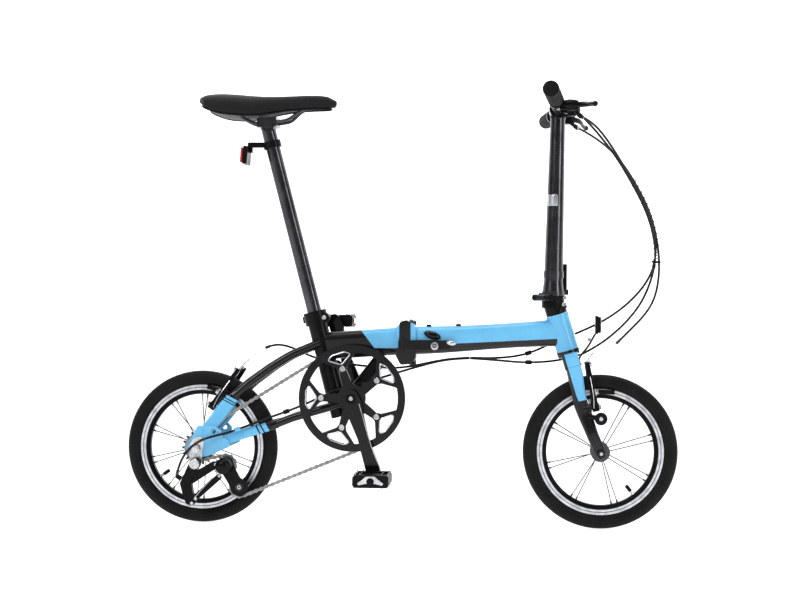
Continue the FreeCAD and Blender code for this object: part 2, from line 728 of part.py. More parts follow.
def pin_hole(name, clearance):
    return cylinder(name, at(size("hinge_station"), size("hinge_offset"), 330), Vector(0, 0, 1),
                    f"Sizes.hinge_pin_radius + {clearance}", 130)


def rear_beam():
    half = size("beam_half_width")
    tube = lofted("rear_beam_tube", [((258, 0, 381), (1, 0.05), 58, 2 * half - 3),
                                     ((430, 0, 393.7), (1, 0.05), 59, 2 * half)])
    width = 2 * size("casting_half_width")
    face = size("hinge_station")
    casting = plate("rear_casting", [(face, 345, 3), (face, 434, 4), (440, 438.5, 5), (428, 435.5, 5),
                                     (424, 428, 6), (418, 423, 3), (418, 362, 5), (428, 343, 8)],
                    width / 2, width)
    lugs = [hinge_lug("rear_lug_low", 343, 371.7), hinge_lug("rear_lug_high", 407.3, 436),
            hinge_web("rear_web_low", 428, face - 0.3, 345, 371.7),
            hinge_web("rear_web_high", 428, face - 0.3, 407.3, 434)]
    for low, high in ((370, 375.7), (396.8, 402)):
        lugs.append(box(f"latch_lug_{low}", (424, -34, low), (434, -20, high)))
    lugs.append(cylinder("latch_pin", at(*LATCH_PIVOT, 369), Vector(0, 0, 1), 2.5, 34))
    clear = cylinder("front_lug_room", at(face, size("hinge_offset"), 371.7), Vector(0, 0, 1),
                     "Sizes.hinge_lug_radius + Sizes.joint_gap", 35.6)
    sleeve = seat_cylinder("beam_sleeve_tool", 200, 480, "Sizes.seat_tube_radius")
    whole = fuse("rear_beam_weld", tube, casting, *lugs)
    return node(cut("rear_beam_cut", whole, sleeve, clear, pin_hole("rear_pin_hole", 0)), "rear_beam")


def seatstays():
    path = [(255, -14, 388), (193, -21, 362), (150, -29, 335), (107, -38, 303), (74, -45, 273)]
    tube = bent_rod("seatstay_tube", path, 9.5, 160)
    blade = lofted("seatstay_blade", [((82, -43.3, 280.5), (-0.72, -0.66), 21, 17),
                                      ((61, -48, 256), (-0.6, -0.8), 29, 15),
                                      ((36, -56, 222), (-0.66, -0.75), 27, 11),
                                      ((12, -62.5, 196), (-0.7, -0.71), 23, 6)])
    boss = cylinder("rear_boss_foot", at(*REAR_BOSS), Vector(-0.821, 0, 0.57), 7, 16)
    pin = cylinder("rear_boss_pin", at(*REAR_BOSS), Vector(-0.821, 0, 0.57), "Sizes.boss_pin_radius", 36)
    sleeve = seat_cylinder("stay_sleeve_tool", 200, 480, "Sizes.seat_tube_radius")
    stay = cut("seatstay_plain", fuse("seatstay_weld", tube, blade, boss, pin), sleeve)
    band = chain_band(size("chain_half_height") + 1.5)
    chain_room = feature("chain_room", standing(band.extrude(Vector(0, 0, 11)), 5.5 - size("chain_line")))
    right = cut("seatstay_right", stay, chain_room)
    return node(group("seatstay_pair", right, mirrored("seatstay_left", stay)), "seatstays")


def dropout(near):
    """The plate that carries the axle, open between its upper and lower limbs."""
    thickness = size("dropout_thickness")
    points = [(2, 212, 5), (40, 212, 5), (52, 200, 6), (50, 190, 5), (66, 184, 5), (70, 168, 4),
              (24, 148, 8), (6, 144, 8), (-10, 146, 8), (-22, 156, 8), (-22, 168, 8)]
    return plate("dropout", points, near, thickness, [(0, AXLE_Z, "Sizes.axle_radius"), (36, 200, 5),
                                                      (14, 201, 3.5)])


def chainstays():
    path = [(312, -24, 264), (278, -28, 252), (200, -31, 229), (152, -36, 210)]
    tube = bent_rod("chainstay_tube", path, 8.5, 120)
    blade = lofted("chainstay_blade", [((168, -34.2, 216), (-0.93, -0.37), 18.5, 16.5),
                                       ((150, -36.5, 210.5), (-0.93, -0.37), 20, 15),
                                       ((100, -46, 195), (-0.94, -0.34), 20, 13),
                                       ((58, -58, 180), (-0.95, -0.32), 19, 9),
                                       ((42, -61.5, 174), (-0.95, -0.32), 18, 6)])
    plate_part = dropout(-size("rear_dropout_inner"))
    shell = cross_cylinder("stay_shell_tool", *BRACKET, -60, 60, "Sizes.bracket_shell_radius")
    sleeve = seat_cylinder("chainstay_sleeve_tool", 200, 480, "Sizes.seat_tube_radius")
    right = cut("chainstay_right", fuse("chainstay_weld", tube, blade, plate_part), shell, sleeve)
    return node(group("chainstay_pair", right, mirrored("chainstay_left", right)), "chainstays")


def seat_clamp_collar():
    """The split collar, and through its front ears the skewer with its nut and the lever's pin."""
    low = SEAT_MARK[1] - size("collar_height") / 2 * SEAT_UP.z
    ring = cylinder("collar_ring", at(*on_seat_axis(low)), SEAT_UP, "Sizes.collar_radius",
                    "Sizes.collar_height")
    x, z = CLAMP_AXIS
    ears = fuse("collar_ears", cross_cylinder("collar_ear_round", x, z, -17, 17, 10.5),
                box("collar_ear_root", (x - 14, -17, z - 9.5), (x, 17, z + 9.5)))
    tube_room = seat_cylinder("collar_room", 400, 480, "Sizes.seat_tube_radius")
    slit = box("collar_slit", (x - 12, -1.2, z - 40), (x + 30, 1.2, z + 40))
    hole = cross_cylinder("collar_bolt_hole", x, z, -30, 30, "Sizes.skewer_radius + Sizes.running_clearance")
    collar = cut("collar_cut", fuse("collar_weld", ring, ears), tube_room, slit, hole)
    skewer = cross_cylinder("clamp_skewer", x, z, -22, CLAMP_PIN_Y - 3, "Sizes.skewer_radius")
    nut = cross_cylinder("clamp_nut", x, z, -17, -21.5, 6.2)
    eye = cylinder("clamp_eye", at(x, CLAMP_PIN_Y, z) - SEAT_UP * 3.5, SEAT_UP, 5, 7)
    pin = cylinder("clamp_pin", at(x, CLAMP_PIN_Y, z) - SEAT_UP * 8, SEAT_UP, 2.5, 16)
    return node(group("collar_and_skewer", collar, fuse("skewer_set", skewer, nut, eye, pin)),
                "seat_clamp_collar")


def seat_clamp_lever():
    """The cam lever on the left: it wraps back round the collar and swings out on the skewer's pin."""
    x, z = CLAMP_AXIS
    centre = at(x, CLAMP_PIN_Y, z)
    cams = [cylinder(f"cam_{start}", centre + SEAT_UP * start, SEAT_UP, 5.8, 3.6) for start in (-7.4, 3.8)]
    web = box("cam_web", (x - 10, CLAMP_PIN_Y + 0.5, z - 7.2), (x - 1.5, CLAMP_PIN_Y + 7, z + 7),
              Rotation(Y_AXIS, -size("seat_tilt")))
    arm = lofted("clamp_arm", [((x - 6, CLAMP_PIN_Y + 4, z - 1), (-1, -0.06), 14, 6),
                               ((x - 20, CLAMP_PIN_Y + 7.5, z - 2), (-1, -0.1), 14, 5.5),
                               ((x - 36, CLAMP_PIN_Y + 6.5, z - 4), (-1, -0.12), 15, 5.5),
                               ((x - 51, CLAMP_PIN_Y, z - 6.5), (-1, -0.15), 14, 5)])
    bore = cylinder("cam_bore", centre - SEAT_UP * 12, SEAT_UP, "2.5 + Sizes.running_clearance", 24)
    room = cylinder("cam_eye_room", centre - SEAT_UP * 3.8, SEAT_UP, 5.4, 7.6)
    return node(cut("clamp_lever_cut", fuse("clamp_lever_set", *cams, web, arm), bore, room),
                "seat_clamp_lever")


def bottom_bracket():
    half = size("bracket_half_width")
    body = cross_cylinder("bracket_cartridge", *BRACKET, -half, half, "Sizes.bracket_bore")
    cups = [cross_cylinder(f"bracket_cup_{side}", *BRACKET, side * half, side * (half + 3), 21)
            for side in (-1, 1)]
    bore = cross_cylinder("cartridge_bore", *BRACKET, -45, 45,
                          "Sizes.spindle_radius + Sizes.running_clearance")
    return node(cut("bracket_bored", fuse("bracket_set", body, *cups), bore), "bottom_bracket")


def derailleur_hanger():
    points = [(-6, 186, 6), (10, 190, 6), (16, 178, 6), (13, 160, 8), (12, 142, 6), (8, 124, 7), (-9, 124, 7),
              (-13, 142, 6), (-19, 158, 6), (-14, 172, 6)]
    return node(plate("hanger_plate", points, -66, 3, [(0, AXLE_Z, "Sizes.axle_radius"),
                                                   (-1, 133, "6 + Sizes.running_clearance")]),
                "derailleur_hanger")


# ---------------------------------------------------------------- front frame
def front_beam():
    half = size("beam_half_width")
    face = size("hinge_station") + size("joint_gap")
    tube = lofted("front_beam_tube", [((455, 0, 395), (1, 0.07), 60, 2 * half),
                                      ((560, 0, 400), (1, 0.08), 56, 2 * half),
                                      ((700, 0, 410), (1, 0.08), 54, 2 * half - 2),
                                      ((772, 0, 414), (1, 0.08), 60, 2 * half - 4)])
    width = 2 * size("casting_half_width")
    casting = plate("front_casting", [(face, 345, 2), (face, 434, 3), (454, 430, 4), (460, 424, 3),
                                      (461, 360, 4), (456, 350, 5)], width / 2, width)
    lug = hinge_lug("front_lug", 372, 407)
    web = hinge_web("front_web", face, 460, 372, 407)
    room = [cylinder(f"rear_lug_room_{z}", at(size("hinge_station"), size("hinge_offset"), z), Vector(0, 0, 1),
                     "Sizes.hinge_lug_radius + Sizes.joint_gap", 30) for z in (341.9, 407)]
    head = cylinder("head_room", at(*on_steering_axis(-10)), STEER_UP, "Sizes.head_tube_radius", 120)
    whole = fuse("front_beam_weld", tube, casting, lug, web)
    return node(cut("front_beam_cut", whole, head, *room,
                    pin_hole("front_pin_hole", "Sizes.running_clearance")), "front_beam")


def head_tube():
    foot = on_steering_axis(size("cup_height") + 0.5)
    tube = cylinder("head_tube_wall", at(*foot), STEER_UP, "Sizes.head_tube_radius",
                    "Sizes.head_tube_length - 2 * Sizes.cup_height")
    bore = cylinder("head_tube_bore", at(*on_steering_axis(-20)), STEER_UP, 18, 140)
    return node(cut("head_tube_bored", tube, bore), "head_tube")


def headset_cups():
    cups = []
    for i, start in enumerate((0.5, 0.5 + size("head_tube_length") - size("cup_height"))):
        ring = cylinder(f"cup_ring_{i}", at(*on_steering_axis(start)), STEER_UP,
                        "Sizes.head_tube_radius + 1", "Sizes.cup_height")
        bore = cylinder(f"cup_bore_{i}", at(*on_steering_axis(start - 5)), STEER_UP,
                        "Sizes.steerer_radius + Sizes.running_clearance", 20)
        cups.append(cut(f"cup_{i}", ring, bore))
    return node(group("cup_pair", *cups), "headset_cups")


def hinge_pin():
    pin = cylinder("pin_rod", at(size("hinge_station"), size("hinge_offset"), 341), Vector(0, 0, 1),
                   "Sizes.hinge_pin_radius", 97)
    heads = [cylinder(f"pin_head_{z}", at(size("hinge_station"), size("hinge_offset"), z), Vector(0, 0, 1),
                      "Sizes.hinge_pin_radius + 2", 2) for z in (341, 436)]
    return node(fuse("pin_set", pin, *heads), "hinge_pin")


def frame_latch_lever():
    """The lever over the beam hinge: it swings outwards on a vertical pin in the rear casting."""
    x, y = LATCH_PIVOT
    knuckle = cylinder("latch_knuckle", at(x, y, 376), Vector(0, 0, 1), 5.5, 20)
    bore = cylinder("latch_bore", at(x, y, 370), Vector(0, 0, 1), "2.5 + Sizes.running_clearance", 40)
    arm = plate("latch_arm", [(x, 377, 3), (x, 395, 4), (470, 396.5, 6), (540, 396, 5), (541, 386, 4),
                              (530, 378, 6), (470, 375.5, 6)], -25, 9)
    stud = cross_cylinder("latch_stud", 501, 384, -33, -36.5, 5.5)
    return node(cut("latch_cut", fuse("latch_set", knuckle, arm, stud), bore), "frame_latch_lever")


# ---------------------------------------------------------------- fork and its fittings
def fork_crown():
    steerer = cylinder("steerer", at(*on_steering_axis(-22)), STEER_UP, "Sizes.steerer_radius", 118)
    race = cylinder("crown_race", at(*on_steering_axis(-6)), STEER_UP, "Sizes.head_tube_radius", 6.2)
    corner = Vector(*on_steering_axis(-33)) - Vector(STEER_UP.z, 0, -STEER_UP.x) * 17
    bridge = box("crown_bridge", corner - Y_AXIS * 42, corner + Vector(34, 42, 32),
                 Rotation(Y_AXIS, -size("head_angle")))
    bridge = rounded("crown_rounded", bridge, 8, lambda e: abs(e.tangentAt(e.FirstParameter).y) < 0.1)
    return node(fuse("crown_set", steerer, race, bridge), "fork_crown")


FORK_LINE = [((792.5, -33.5, 343), (0.25, -0.97), 32, 17), ((799, -34, 318), (0.27, -0.96), 31, 16),
             ((808, -35, 270), (0.3, -0.95), 29, 14), ((825, -37.5, 224), (0.37, -0.93), 27, 12),
             ((838, -40.5, 191), (0.38, -0.92), 24, 9), ((851, -41, 163), (0.42, -0.91), 21, 8),
             ((855, -41, 153), (0.42, -0.91), 14, 8)]
FRONT_BOSS = (815, -37, 253.2)
FRONT_BOSS_AXIS = Vector(0.983, 0, 0.182)


def fork_blades():
    blade = lofted("fork_blade", FORK_LINE)
    hole = cross_cylinder("fork_axle_hole", FRONT, AXLE_Z, -60, -20, "Sizes.axle_radius")
    foot = cylinder("front_boss_foot", at(*FRONT_BOSS), FRONT_BOSS_AXIS, 7, 16)
    pin = cylinder("front_boss_pin", at(*FRONT_BOSS), FRONT_BOSS_AXIS, "Sizes.boss_pin_radius", 36)
    right = cut("fork_blade_right", fuse("fork_blade_weld", blade, foot, pin), hole)
    return node(group("fork_blade_pair", right, mirrored("fork_blade_left", right)), "fork_blades")


def front_bracket():
    """The bent strip on the crown that carries the front reflector."""
    strip = [((810.5, 0, 346), (-0.25, 1), 4, 16), ((807, 0, 361), (0.1, 1), 4, 17),
             ((818, 0, 377), (0.6, 0.8), 4, 18), ((828, 0, 391), (0.5, 0.87), 4, 18),
             ((836, 0, 406), (0.6, 0.8), 4, 18), ((842.5, 0, 415), (0.5, 0.87), 4, 18)]
    holder = box("reflector_holder", (839, -22, 412), (845, 22, 450))
    lens = box("reflector_lens", (845, -20, 414), (850, 20, 448))
    return node(fuse("front_bracket_set", lofted("bracket_strip", strip), holder, lens), "front_bracket")


def post_frame(along, distance, height):
    """A point by its place along the post hinge's axis, off it towards the post, and above it."""
    off = Vector(1, 1, 0).normalize()
    point = Vector(*POST_HINGE) + POST_HINGE_AXIS * along + off * distance + Vector(0, 0, height)
    return point.x, point.y, point.z


def post_lug(name, low, high, extra=0):
    """A barrel about the post hinge's axis between two places along it."""
    return cylinder(name, at(*post_frame(low, 0, 0)), POST_HINGE_AXIS,
                    f"Sizes.post_hinge_radius + {extra}", high - low)


def post_web(name, low, high, near, far, bottom, top):
    """A block in the hinge's own directions: along its axis, off it towards the post, and upwards."""
    made = bind(doc.addObject("Part::Box", name), Length=high - low, Width=far - near, Height=top - bottom)
    made.Placement = Placement(at(*post_frame(low, near, bottom)), Rotation(Vector(0, 0, 1), -45))
    return made


POST_SPLITS = (-24, -11.3, 11.3, 24)
LATCH_PLACE = (61, 12)                      # off the post hinge's axis, and above it


def handlepost_base():
    """The casting clamped on the steerer, with the outer barrels and the pin of the post hinge."""
    low, mid_low, mid_high, high = POST_SPLITS
    x, z = POST_FOOT
    sleeve = cylinder("base_sleeve", at(*on_steering_axis(size("head_tube_length") + 1)), STEER_UP, 22.5, 26)
    head = cylinder("base_head", at(x, 0, z - 26), Vector(0, 0, 1), 24, 26)
    skirt = lofted("base_skirt", [((759, 0, 463), (-0.2, 1), 44, 44), ((755, 0, 476), (-0.1, 1), 45, 45)])
    above = box("above_interface", (x - 80, -80, z), (x + 80, 80, z + 60))
    trimmed = cut("base_trimmed", fuse("base_block", sleeve, head, skirt), above)
    lugs = [post_lug("base_lug_0", low, mid_low - 0.3), post_lug("base_lug_1", mid_high + 0.3, high),
            post_web("base_web_0", low, mid_low - 0.3, 0, 26, -7, 3.9),
            post_web("base_web_1", mid_high + 0.3, high, 0, 26, -7, 3.9)]
    room = post_lug("post_lug_room", mid_low - 0.3, mid_high + 0.3, 0.4)
    steerer = cylinder("base_bore", at(*on_steering_axis(60)), STEER_UP, "Sizes.steerer_radius", 60)
    casting = cut("base_casting", fuse("base_set", trimmed, *lugs), room, steerer)
    pin = post_lug("post_hinge_pin", low - 1.5, high + 1.5, "3 - Sizes.post_hinge_radius")
    return node(fuse("base_and_pin", casting, pin), "handlepost_base")


def handlepost():
    """The folding post: its lower casting with the middle barrel, and the tapered tube."""
    low, mid_low, mid_high, high = POST_SPLITS
    x, z = POST_FOOT[0], POST_FOOT[1] + size("joint_gap")
    flange = cylinder("post_flange", at(x, 0, z), Vector(0, 0, 1), 24, 9)
    neck = cone("post_neck", at(x, 0, z + 6), POST_UP, 23, "Sizes.handlepost_foot_radius - 1.2", 32)
    reach = size("handlepost_top") - z
    tube = cone("post_tube", at(*on_post_axis(z + 5)), POST_UP, "Sizes.handlepost_foot_radius",
                "Sizes.handlepost_top_radius", reach - 5)
    ring = cylinder("post_ring", at(*on_post_axis(530)), POST_UP, "Sizes.handlepost_foot_radius + 1", 14)
    lug = post_lug("post_lug", mid_low, mid_high)
    web = post_web("post_lug_web", mid_low, mid_high, 0, 26, 4.3, 10)
    ears = [post_web(f"latch_ear_{start}", start, start + 4, 44, 66, 6, 18) for start in (-13.3, 9.3)]
    latch_pin = cylinder("latch_ear_pin", at(*post_frame(-14, *LATCH_PLACE)), POST_HINGE_AXIS, 2, 28)
    rooms = [post_lug("base_lug_room_0", low - 4, mid_low, 0.4),
             post_lug("base_lug_room_1", mid_high, high + 4, 0.4)]
    pin = post_lug("post_pin_hole", low - 2, high + 2,
                   "3 - Sizes.post_hinge_radius + Sizes.running_clearance")
    hollow = cone("post_hollow", at(*on_post_axis(556)), POST_UP, "Sizes.handlepost_foot_radius - 4",
                  "Sizes.handlepost_top_radius - 3", size("handlepost_top") - 550)
    whole = fuse("handlepost_set", flange, neck, tube, ring, lug, web, *ears, latch_pin)
    return node(cut("handlepost_cut", whole, *rooms, pin, hollow), "handlepost")


def handlepost_latch():
    """The lever on the side of the post away from its hinge: it stands up against the post when shut."""
    pivot = cylinder("post_latch_pivot", at(*post_frame(-9, *LATCH_PLACE)), POST_HINGE_AXIS, 4.5, 18)
    arm = post_web("post_latch_arm", -8, 8, 61, 66.5, 12, 72)
    bore = cylinder("post_latch_bore", at(*post_frame(-20, *LATCH_PLACE)), POST_HINGE_AXIS,
                    "2 + Sizes.running_clearance", 40)
    return node(cut("post_latch_cut", fuse("post_latch_set", pivot, arm), bore), "handlepost_latch")


# ---------------------------------------------------------------- handlebar and controls
BAR_STRAIGHT = 60
BAR_END = (737, size("bar_half_width"), 894)
BAR_CENTRE = (758.2, size("bar_height"))


def on_bar(y):
    """The point of the bar's centreline at that distance from the wheel plane."""
    share = max(0, (abs(y) - BAR_STRAIGHT) / (BAR_END[1] - BAR_STRAIGHT))
    return (BAR_CENTRE[0] + share * (BAR_END[0] - BAR_CENTRE[0]), y,
            BAR_CENTRE[1] + share * (BAR_END[2] - BAR_CENTRE[1]))


def bar_direction(side):
    start, stop = Vector(*on_bar(side * BAR_STRAIGHT)), Vector(*on_bar(side * BAR_END[1]))
    return (stop - start).normalize()


def handlebar():
    tip = BAR_END[1] - 4
    path = [on_bar(-tip), on_bar(-BAR_STRAIGHT), on_bar(BAR_STRAIGHT), on_bar(tip)]
    bar = bent_rod("bar_tube", path, size("bar_radius"), 120)
    bulge = cross_cylinder("bar_bulge", *BAR_CENTRE, -24, 24, "Sizes.bar_centre_radius")
    return node(fuse("bar_set", bar, bulge), "handlebar")


def stem_clamp():
    plug = cylinder("stem_plug", at(*on_post_axis(size("handlepost_top"))), POST_UP, 16.5, 12)
    barrel = cross_cylinder("stem_barrel", *BAR_CENTRE, -22, 22, 19)
    x, z = BAR_CENTRE
    ears = box("stem_ears", (x + 10, -20, z - 9), (x + 30, 20, z + 7))
    slit = box("stem_slit", (x + 8, -30, z - 2), (x + 40, 30, z))
    bore = cross_cylinder("stem_bore", *BAR_CENTRE, -30, 30, "Sizes.bar_centre_radius")
    return node(cut("stem_cut", fuse("stem_set", plug, barrel, ears), bore, slit), "stem_clamp")


def grips():
    """Closed-ended rubber sleeves, modelled as the tube they are around the bar."""
    made = []
    for side in (-1, 1):
        way = bar_direction(side)
        end = Vector(*on_bar(side * BAR_END[1]))
        start = end - way * size("grip_length")
        name = "grip_left" if side > 0 else "grip_right"
        body = cylinder(name + "_body", at(*start), way, "Sizes.grip_radius", "Sizes.grip_length")
        bore = cylinder(name + "_bore", at(*(start - way * 5)), way, "Sizes.bar_radius",
                        "Sizes.grip_length + 1")
        made.append(cut(name, body, bore))
    return node(group("grip_pair", *made), "grips")


PERCH_Y = 125
LEVER_PIVOT = (786, 118, 881)


def lever_perches():
    """Both brake levers' clamps and brackets with their pivot pins, and the gear shifter's body."""
    made = []
    for side in (-1, 1):
        name = "perch_left" if side > 0 else "perch_right"
        way = bar_direction(side)
        centre = Vector(*on_bar(side * PERCH_Y))
        ring = cylinder(name + "_ring", at(*(centre - way * 7)), way, 16, 14)
        x, y, z = LEVER_PIVOT[0], side * LEVER_PIVOT[1], LEVER_PIVOT[2]
        arm = box(name + "_arm", (centre.x + 8, y - 9, z - 9), (x + 9, y + 9, z + 9))
        slot = box(name + "_slot", (x - 10, y - 12, z - 4.3), (x + 12, y + 12, z + 4.3))
        stop = cylinder(name + "_barrel", at(x + 2, y - side * 16, z - 10), Vector(0.8, 0, -0.6), 4, 14)
        neck = box(name + "_neck", (x - 12, min(y - side * 22, y - side * 8), z - 12.5),
                   (x + 6, max(y - side * 22, y - side * 8), z + 2))
        bore = cylinder(name + "_bore", at(*(centre - way * 30)), way, "Sizes.bar_radius", 60)
        pin = cylinder(name + "_pin", at(x, y, z - 9), Vector(0, 0, 1), 3, 18)
        body = cut(name + "_cut", fuse(name + "_set", ring, arm, neck, stop), slot, bore)
        made.append(fuse(name, body, pin))
    return node(group("perch_set", *made, shifter_body()), "lever_perches")


def brake_blade(side):
    name = "brake_blade_left" if side > 0 else "brake_blade_right"
    x, y, z = LEVER_PIVOT[0], side * LEVER_PIVOT[1], LEVER_PIVOT[2]
    eye = cylinder(name + "_eye", at(x, y, z - 4), Vector(0, 0, 1), 7, 8)
    path = [(x + 1, y + side * 3, z), (x + 17, y + side * 14, z), (x + 28, y + side * 40, z - 3),
            (x + 31, y + side * 72, z - 7), (x + 40, y + side * 92, z - 9)]
    blade = bent_rod(name + "_rod", path, 3.8, 60)
    bore = cylinder(name + "_bore", at(x, y, z - 10), Vector(0, 0, 1), "3 + Sizes.running_clearance", 20)
    return node(cut(name + "_cut", fuse(name + "_set", eye, blade), bore), name)


SHIFTER_Y = -92
SHIFTER_PIVOT = (784, SHIFTER_Y + 2, 864)


def shifter_body():
    way = bar_direction(-1)
    centre = Vector(*on_bar(SHIFTER_Y))
    ring = cylinder("shifter_ring", at(*(centre - way * 6)), way, 15.5, 12)
    pod = cylinder("shifter_pod", at(SHIFTER_PIVOT[0], SHIFTER_PIVOT[1], 868), Vector(0, 0, 1), 17, 13)
    neck = box("shifter_neck", (centre.x + 6, SHIFTER_Y - 6, 869), (784, SHIFTER_Y + 6, 883))
    pin = cylinder("shifter_pin", at(*SHIFTER_PIVOT), Vector(0, 0, 1), 3, 6)
    bore = cylinder("shifter_bore", at(*(centre - way * 30)), way, "Sizes.bar_radius", 60)
    return cut("shifter_cut", fuse("shifter_set", ring, pod, neck, pin), bore)


def shifter_lever():
    x, y, z = SHIFTER_PIVOT
    disc = cylinder("shift_disc", at(x, y, z - 2), Vector(0, 0, 1), 9, 5.7)
    path = [(x, y, z + 0.6), (x - 16, y + 6, z - 0.5), (x - 34, y + 6, z - 5)]
    thumb = bent_rod("shift_thumb", path, 3.2, 20)
    bore = cylinder("shift_bore", at(x, y, z - 1), Vector(0, 0, 1), "3 + Sizes.running_clearance", 20)
    return node(cut("shift_lever_cut", fuse("shift_lever_set", disc, thumb), bore), "shifter_lever")


# ---------------------------------------------------------------- rim brakes
def brake_arm(name, boss, axis, up, side, wheel, pad_angle):
    """A linear-pull arm on its boss: sleeve, arm, pad on its post, and a toe at the top.

    boss is where the right side's pin starts, axis the pin's direction and up the arm's; pad_angle is
    where the pad's middle sits round the wheel, whose station is given."""
    across = Vector(0, side, 0)
    base = at(boss[0], -side * boss[1], boss[2])
    sleeve_start = base + axis * 18
    sleeve = cylinder(name + "_sleeve", sleeve_start, axis, "Sizes.brake_sleeve_radius", 14)
    bore = cylinder(name + "_bore", base, axis, "Sizes.boss_pin_radius + Sizes.running_clearance", 60)
    centre = sleeve_start + axis * 7
    arm = lofted_bar(name + "_arm", [(centre + up * 5, up, 13, 9), (centre + up * 50 - across, up, 11, 8),
                                     (centre + up * 96 - across * 6, up, 9, 7)])
    turn = math.radians(pad_angle)
    track = (size("rim_radius") + size("rim_track_foot")) / 2 + 1.5
    tangent = Vector(-math.sin(turn), 0, math.cos(turn))
    pad_centre = at(wheel + track * math.cos(turn), side * (size("rim_half_width") + 5.3),
                    AXLE_Z + track * math.sin(turn))
    block = lofted_bar(name + "_pad", [(pad_centre + tangent * s, tangent, 9, 8) for s in (-25, 25)])
    holder = centre + up * 32
    post = cylinder(name + "_post", Vector(holder.x, side * (size("rim_half_width") + 8), holder.z), across,
                    3.5, abs(base.y) - size("rim_half_width") - 2)
    return node(cut(name + "_cut", fuse(name + "_set", sleeve, arm, block, post), bore), name)


def lofted_bar(name, stations):
    """lofted for stations already in the frame, with straight sides."""
    wires = [slab_wire(point, along, width, thickness, 0.3) for point, along, width, thickness in stations]
    return feature(name, Part.makeLoft(wires, True, len(wires) == 2))


def brake_arms():
    front_up = Vector(-0.182, 0, 0.983)
    rear_axis, rear_up = Vector(-0.821, 0, 0.57), Vector(0.57, 0, 0.821)
    for side, word in ((-1, "right"), (1, "left")):
        brake_arm("front_brake_arm_" + word, FRONT_BOSS, FRONT_BOSS_AXIS, front_up, side, FRONT, 88.2)
        brake_arm("rear_brake_arm_" + word, REAR_BOSS, rear_axis, rear_up, side, 0, 73.5)


# ---------------------------------------------------------------- derailleur
def derailleur_knuckle():
    """The body hung from the hanger's bolt: knuckle, parallelogram links and the cage's knuckle."""
    bolt = cross_cylinder("derailleur_bolt", -1, 133, -66, -88, 6)
    eye = cross_cylinder("derailleur_eye", -1, 133, -69.2, -84, 12)
    knuckle = plate("b_knuckle", [(-12, 136, 6), (7, 130, 6), (2, 112, 6), (-8, 100, 6), (-4, 72, 8),
                                  (6, 58, 7), (-4, 44, 7), (-18, 48, 7), (-26, 70, 7), (-32, 92, 6),
                                  (-24, 108, 8)], -70, 15)
    upper = plate("upper_link", [(-22, 96, 6), (-14, 108, 6), (40, 140, 8), (52, 128, 8), (-6, 90, 6)],
                  -72, 10)
    lower = plate("lower_link", [(-8, 62, 5), (2, 54, 5), (58, 104, 6), (50, 114, 6)], -74, 8)
    p_knuckle = cross_cylinder("p_knuckle", *GUIDE, -56, -82, 17)
    bore = cross_cylinder("p_knuckle_bore", *GUIDE, -50, -62, "3 + Sizes.running_clearance")
    whole = fuse("derailleur_set", bolt, eye, knuckle, upper, lower, p_knuckle)
    return node(cut("derailleur_cut", whole, bore), "derailleur_knuckle")


def derailleur_cage():
    tx = TENSION[0]
    lower_end = [(tx - 16, 68, 10), (tx + 4, 60, 10), (tx + 19, 72, 10), (tx + 18, 92, 10), (tx + 2, 102, 8)]
    outer = plate("cage_outer", [(GUIDE[0] + 4, 146, 10), (GUIDE[0] + 16, 132, 10)] + lower_end[::-1]
                  + [(tx - 20, 84, 8), (GUIDE[0] - 14, 122, 10), (GUIDE[0] - 10, 140, 10)], -51.6, 2)
    inner = plate("cage_inner", [(GUIDE[0] + 2, 140, 8), (GUIDE[0] + 12, 128, 8), (tx + 10, 86, 8),
                                 (tx + 8, 72, 8), (tx - 8, 70, 8), (GUIDE[0] - 10, 120, 8)], -39.5, 1.5)
    pins = [cross_cylinder("guide_axle", *GUIDE, -39.5, -61.5, 3),
            cross_cylinder("tension_axle", *TENSION, -39.5, -54.5, 3)]
    return node(fuse("cage_set", outer, inner, *pins), "derailleur_cage")


def pulley(name, wrap):
    bore = "3 + Sizes.running_clearance"
    wheel = sprocket(name + "_teeth", wrap, size("chain_line"), bore)
    boss = cross_cylinder(name + "_boss", wrap.centre.x, wrap.centre.y, -43.5, -48.5, 9)
    hole = cross_cylinder(name + "_hole", wrap.centre.x, wrap.centre.y, -40, -52, bore)
    return node(fuse(name + "_set", wheel, cut(name + "_hub", boss, hole)), name)


# ---------------------------------------------------------------- seatpost and saddle
def seatpost():
    top = on_seat_axis(852)
    foot_height = 852 - size("post_length") * SEAT_UP.z
    tube = cylinder("post_outer", at(*on_seat_axis(foot_height)), SEAT_UP, "Sizes.post_radius",
                    "Sizes.post_length")
    hollow = cylinder("post_inner", at(*on_seat_axis(foot_height - 5)), SEAT_UP,
                      "Sizes.post_radius - Sizes.post_wall", "Sizes.post_length - 20")
    head = cross_cylinder("post_head", top[0] + 3, 853, -16, 16, 14)
    cradle = box("rail_cradle", (top[0] - 18, -28, 848), (top[0] + 24, 28, 868), Rotation(Y_AXIS, -4))
    rail_room = [tube_shape([at(*p) for p in rail_path(side)], size("rail_radius") + 0.02, 40)[0]
                 for side in (-1, 1)]
    room = feature("rail_room", Part.makeCompound(rail_room))
    return node(cut("seatpost_cut", fuse("seatpost_set", tube, head, cradle), hollow, room), "seatpost")


def rail_path(side):
    spread = size("rail_spacing")
    return [(222, side * 9, 893), (205, side * 13, 882), (184, side * spread, 864), (160, side * spread, 860.5),
            (112, side * spread, 856), (88, side * (spread + 3), 867), (68, side * (spread + 9), 886),
            (54, side * (spread + 14), 906)]


def saddle_rails():
    rails = [bent_rod("rail_left" if side > 0 else "rail_right", rail_path(side), size("rail_radius"), 40)
             for side in (-1, 1)]
    return node(group("rail_pair", *rails), "saddle_rails")


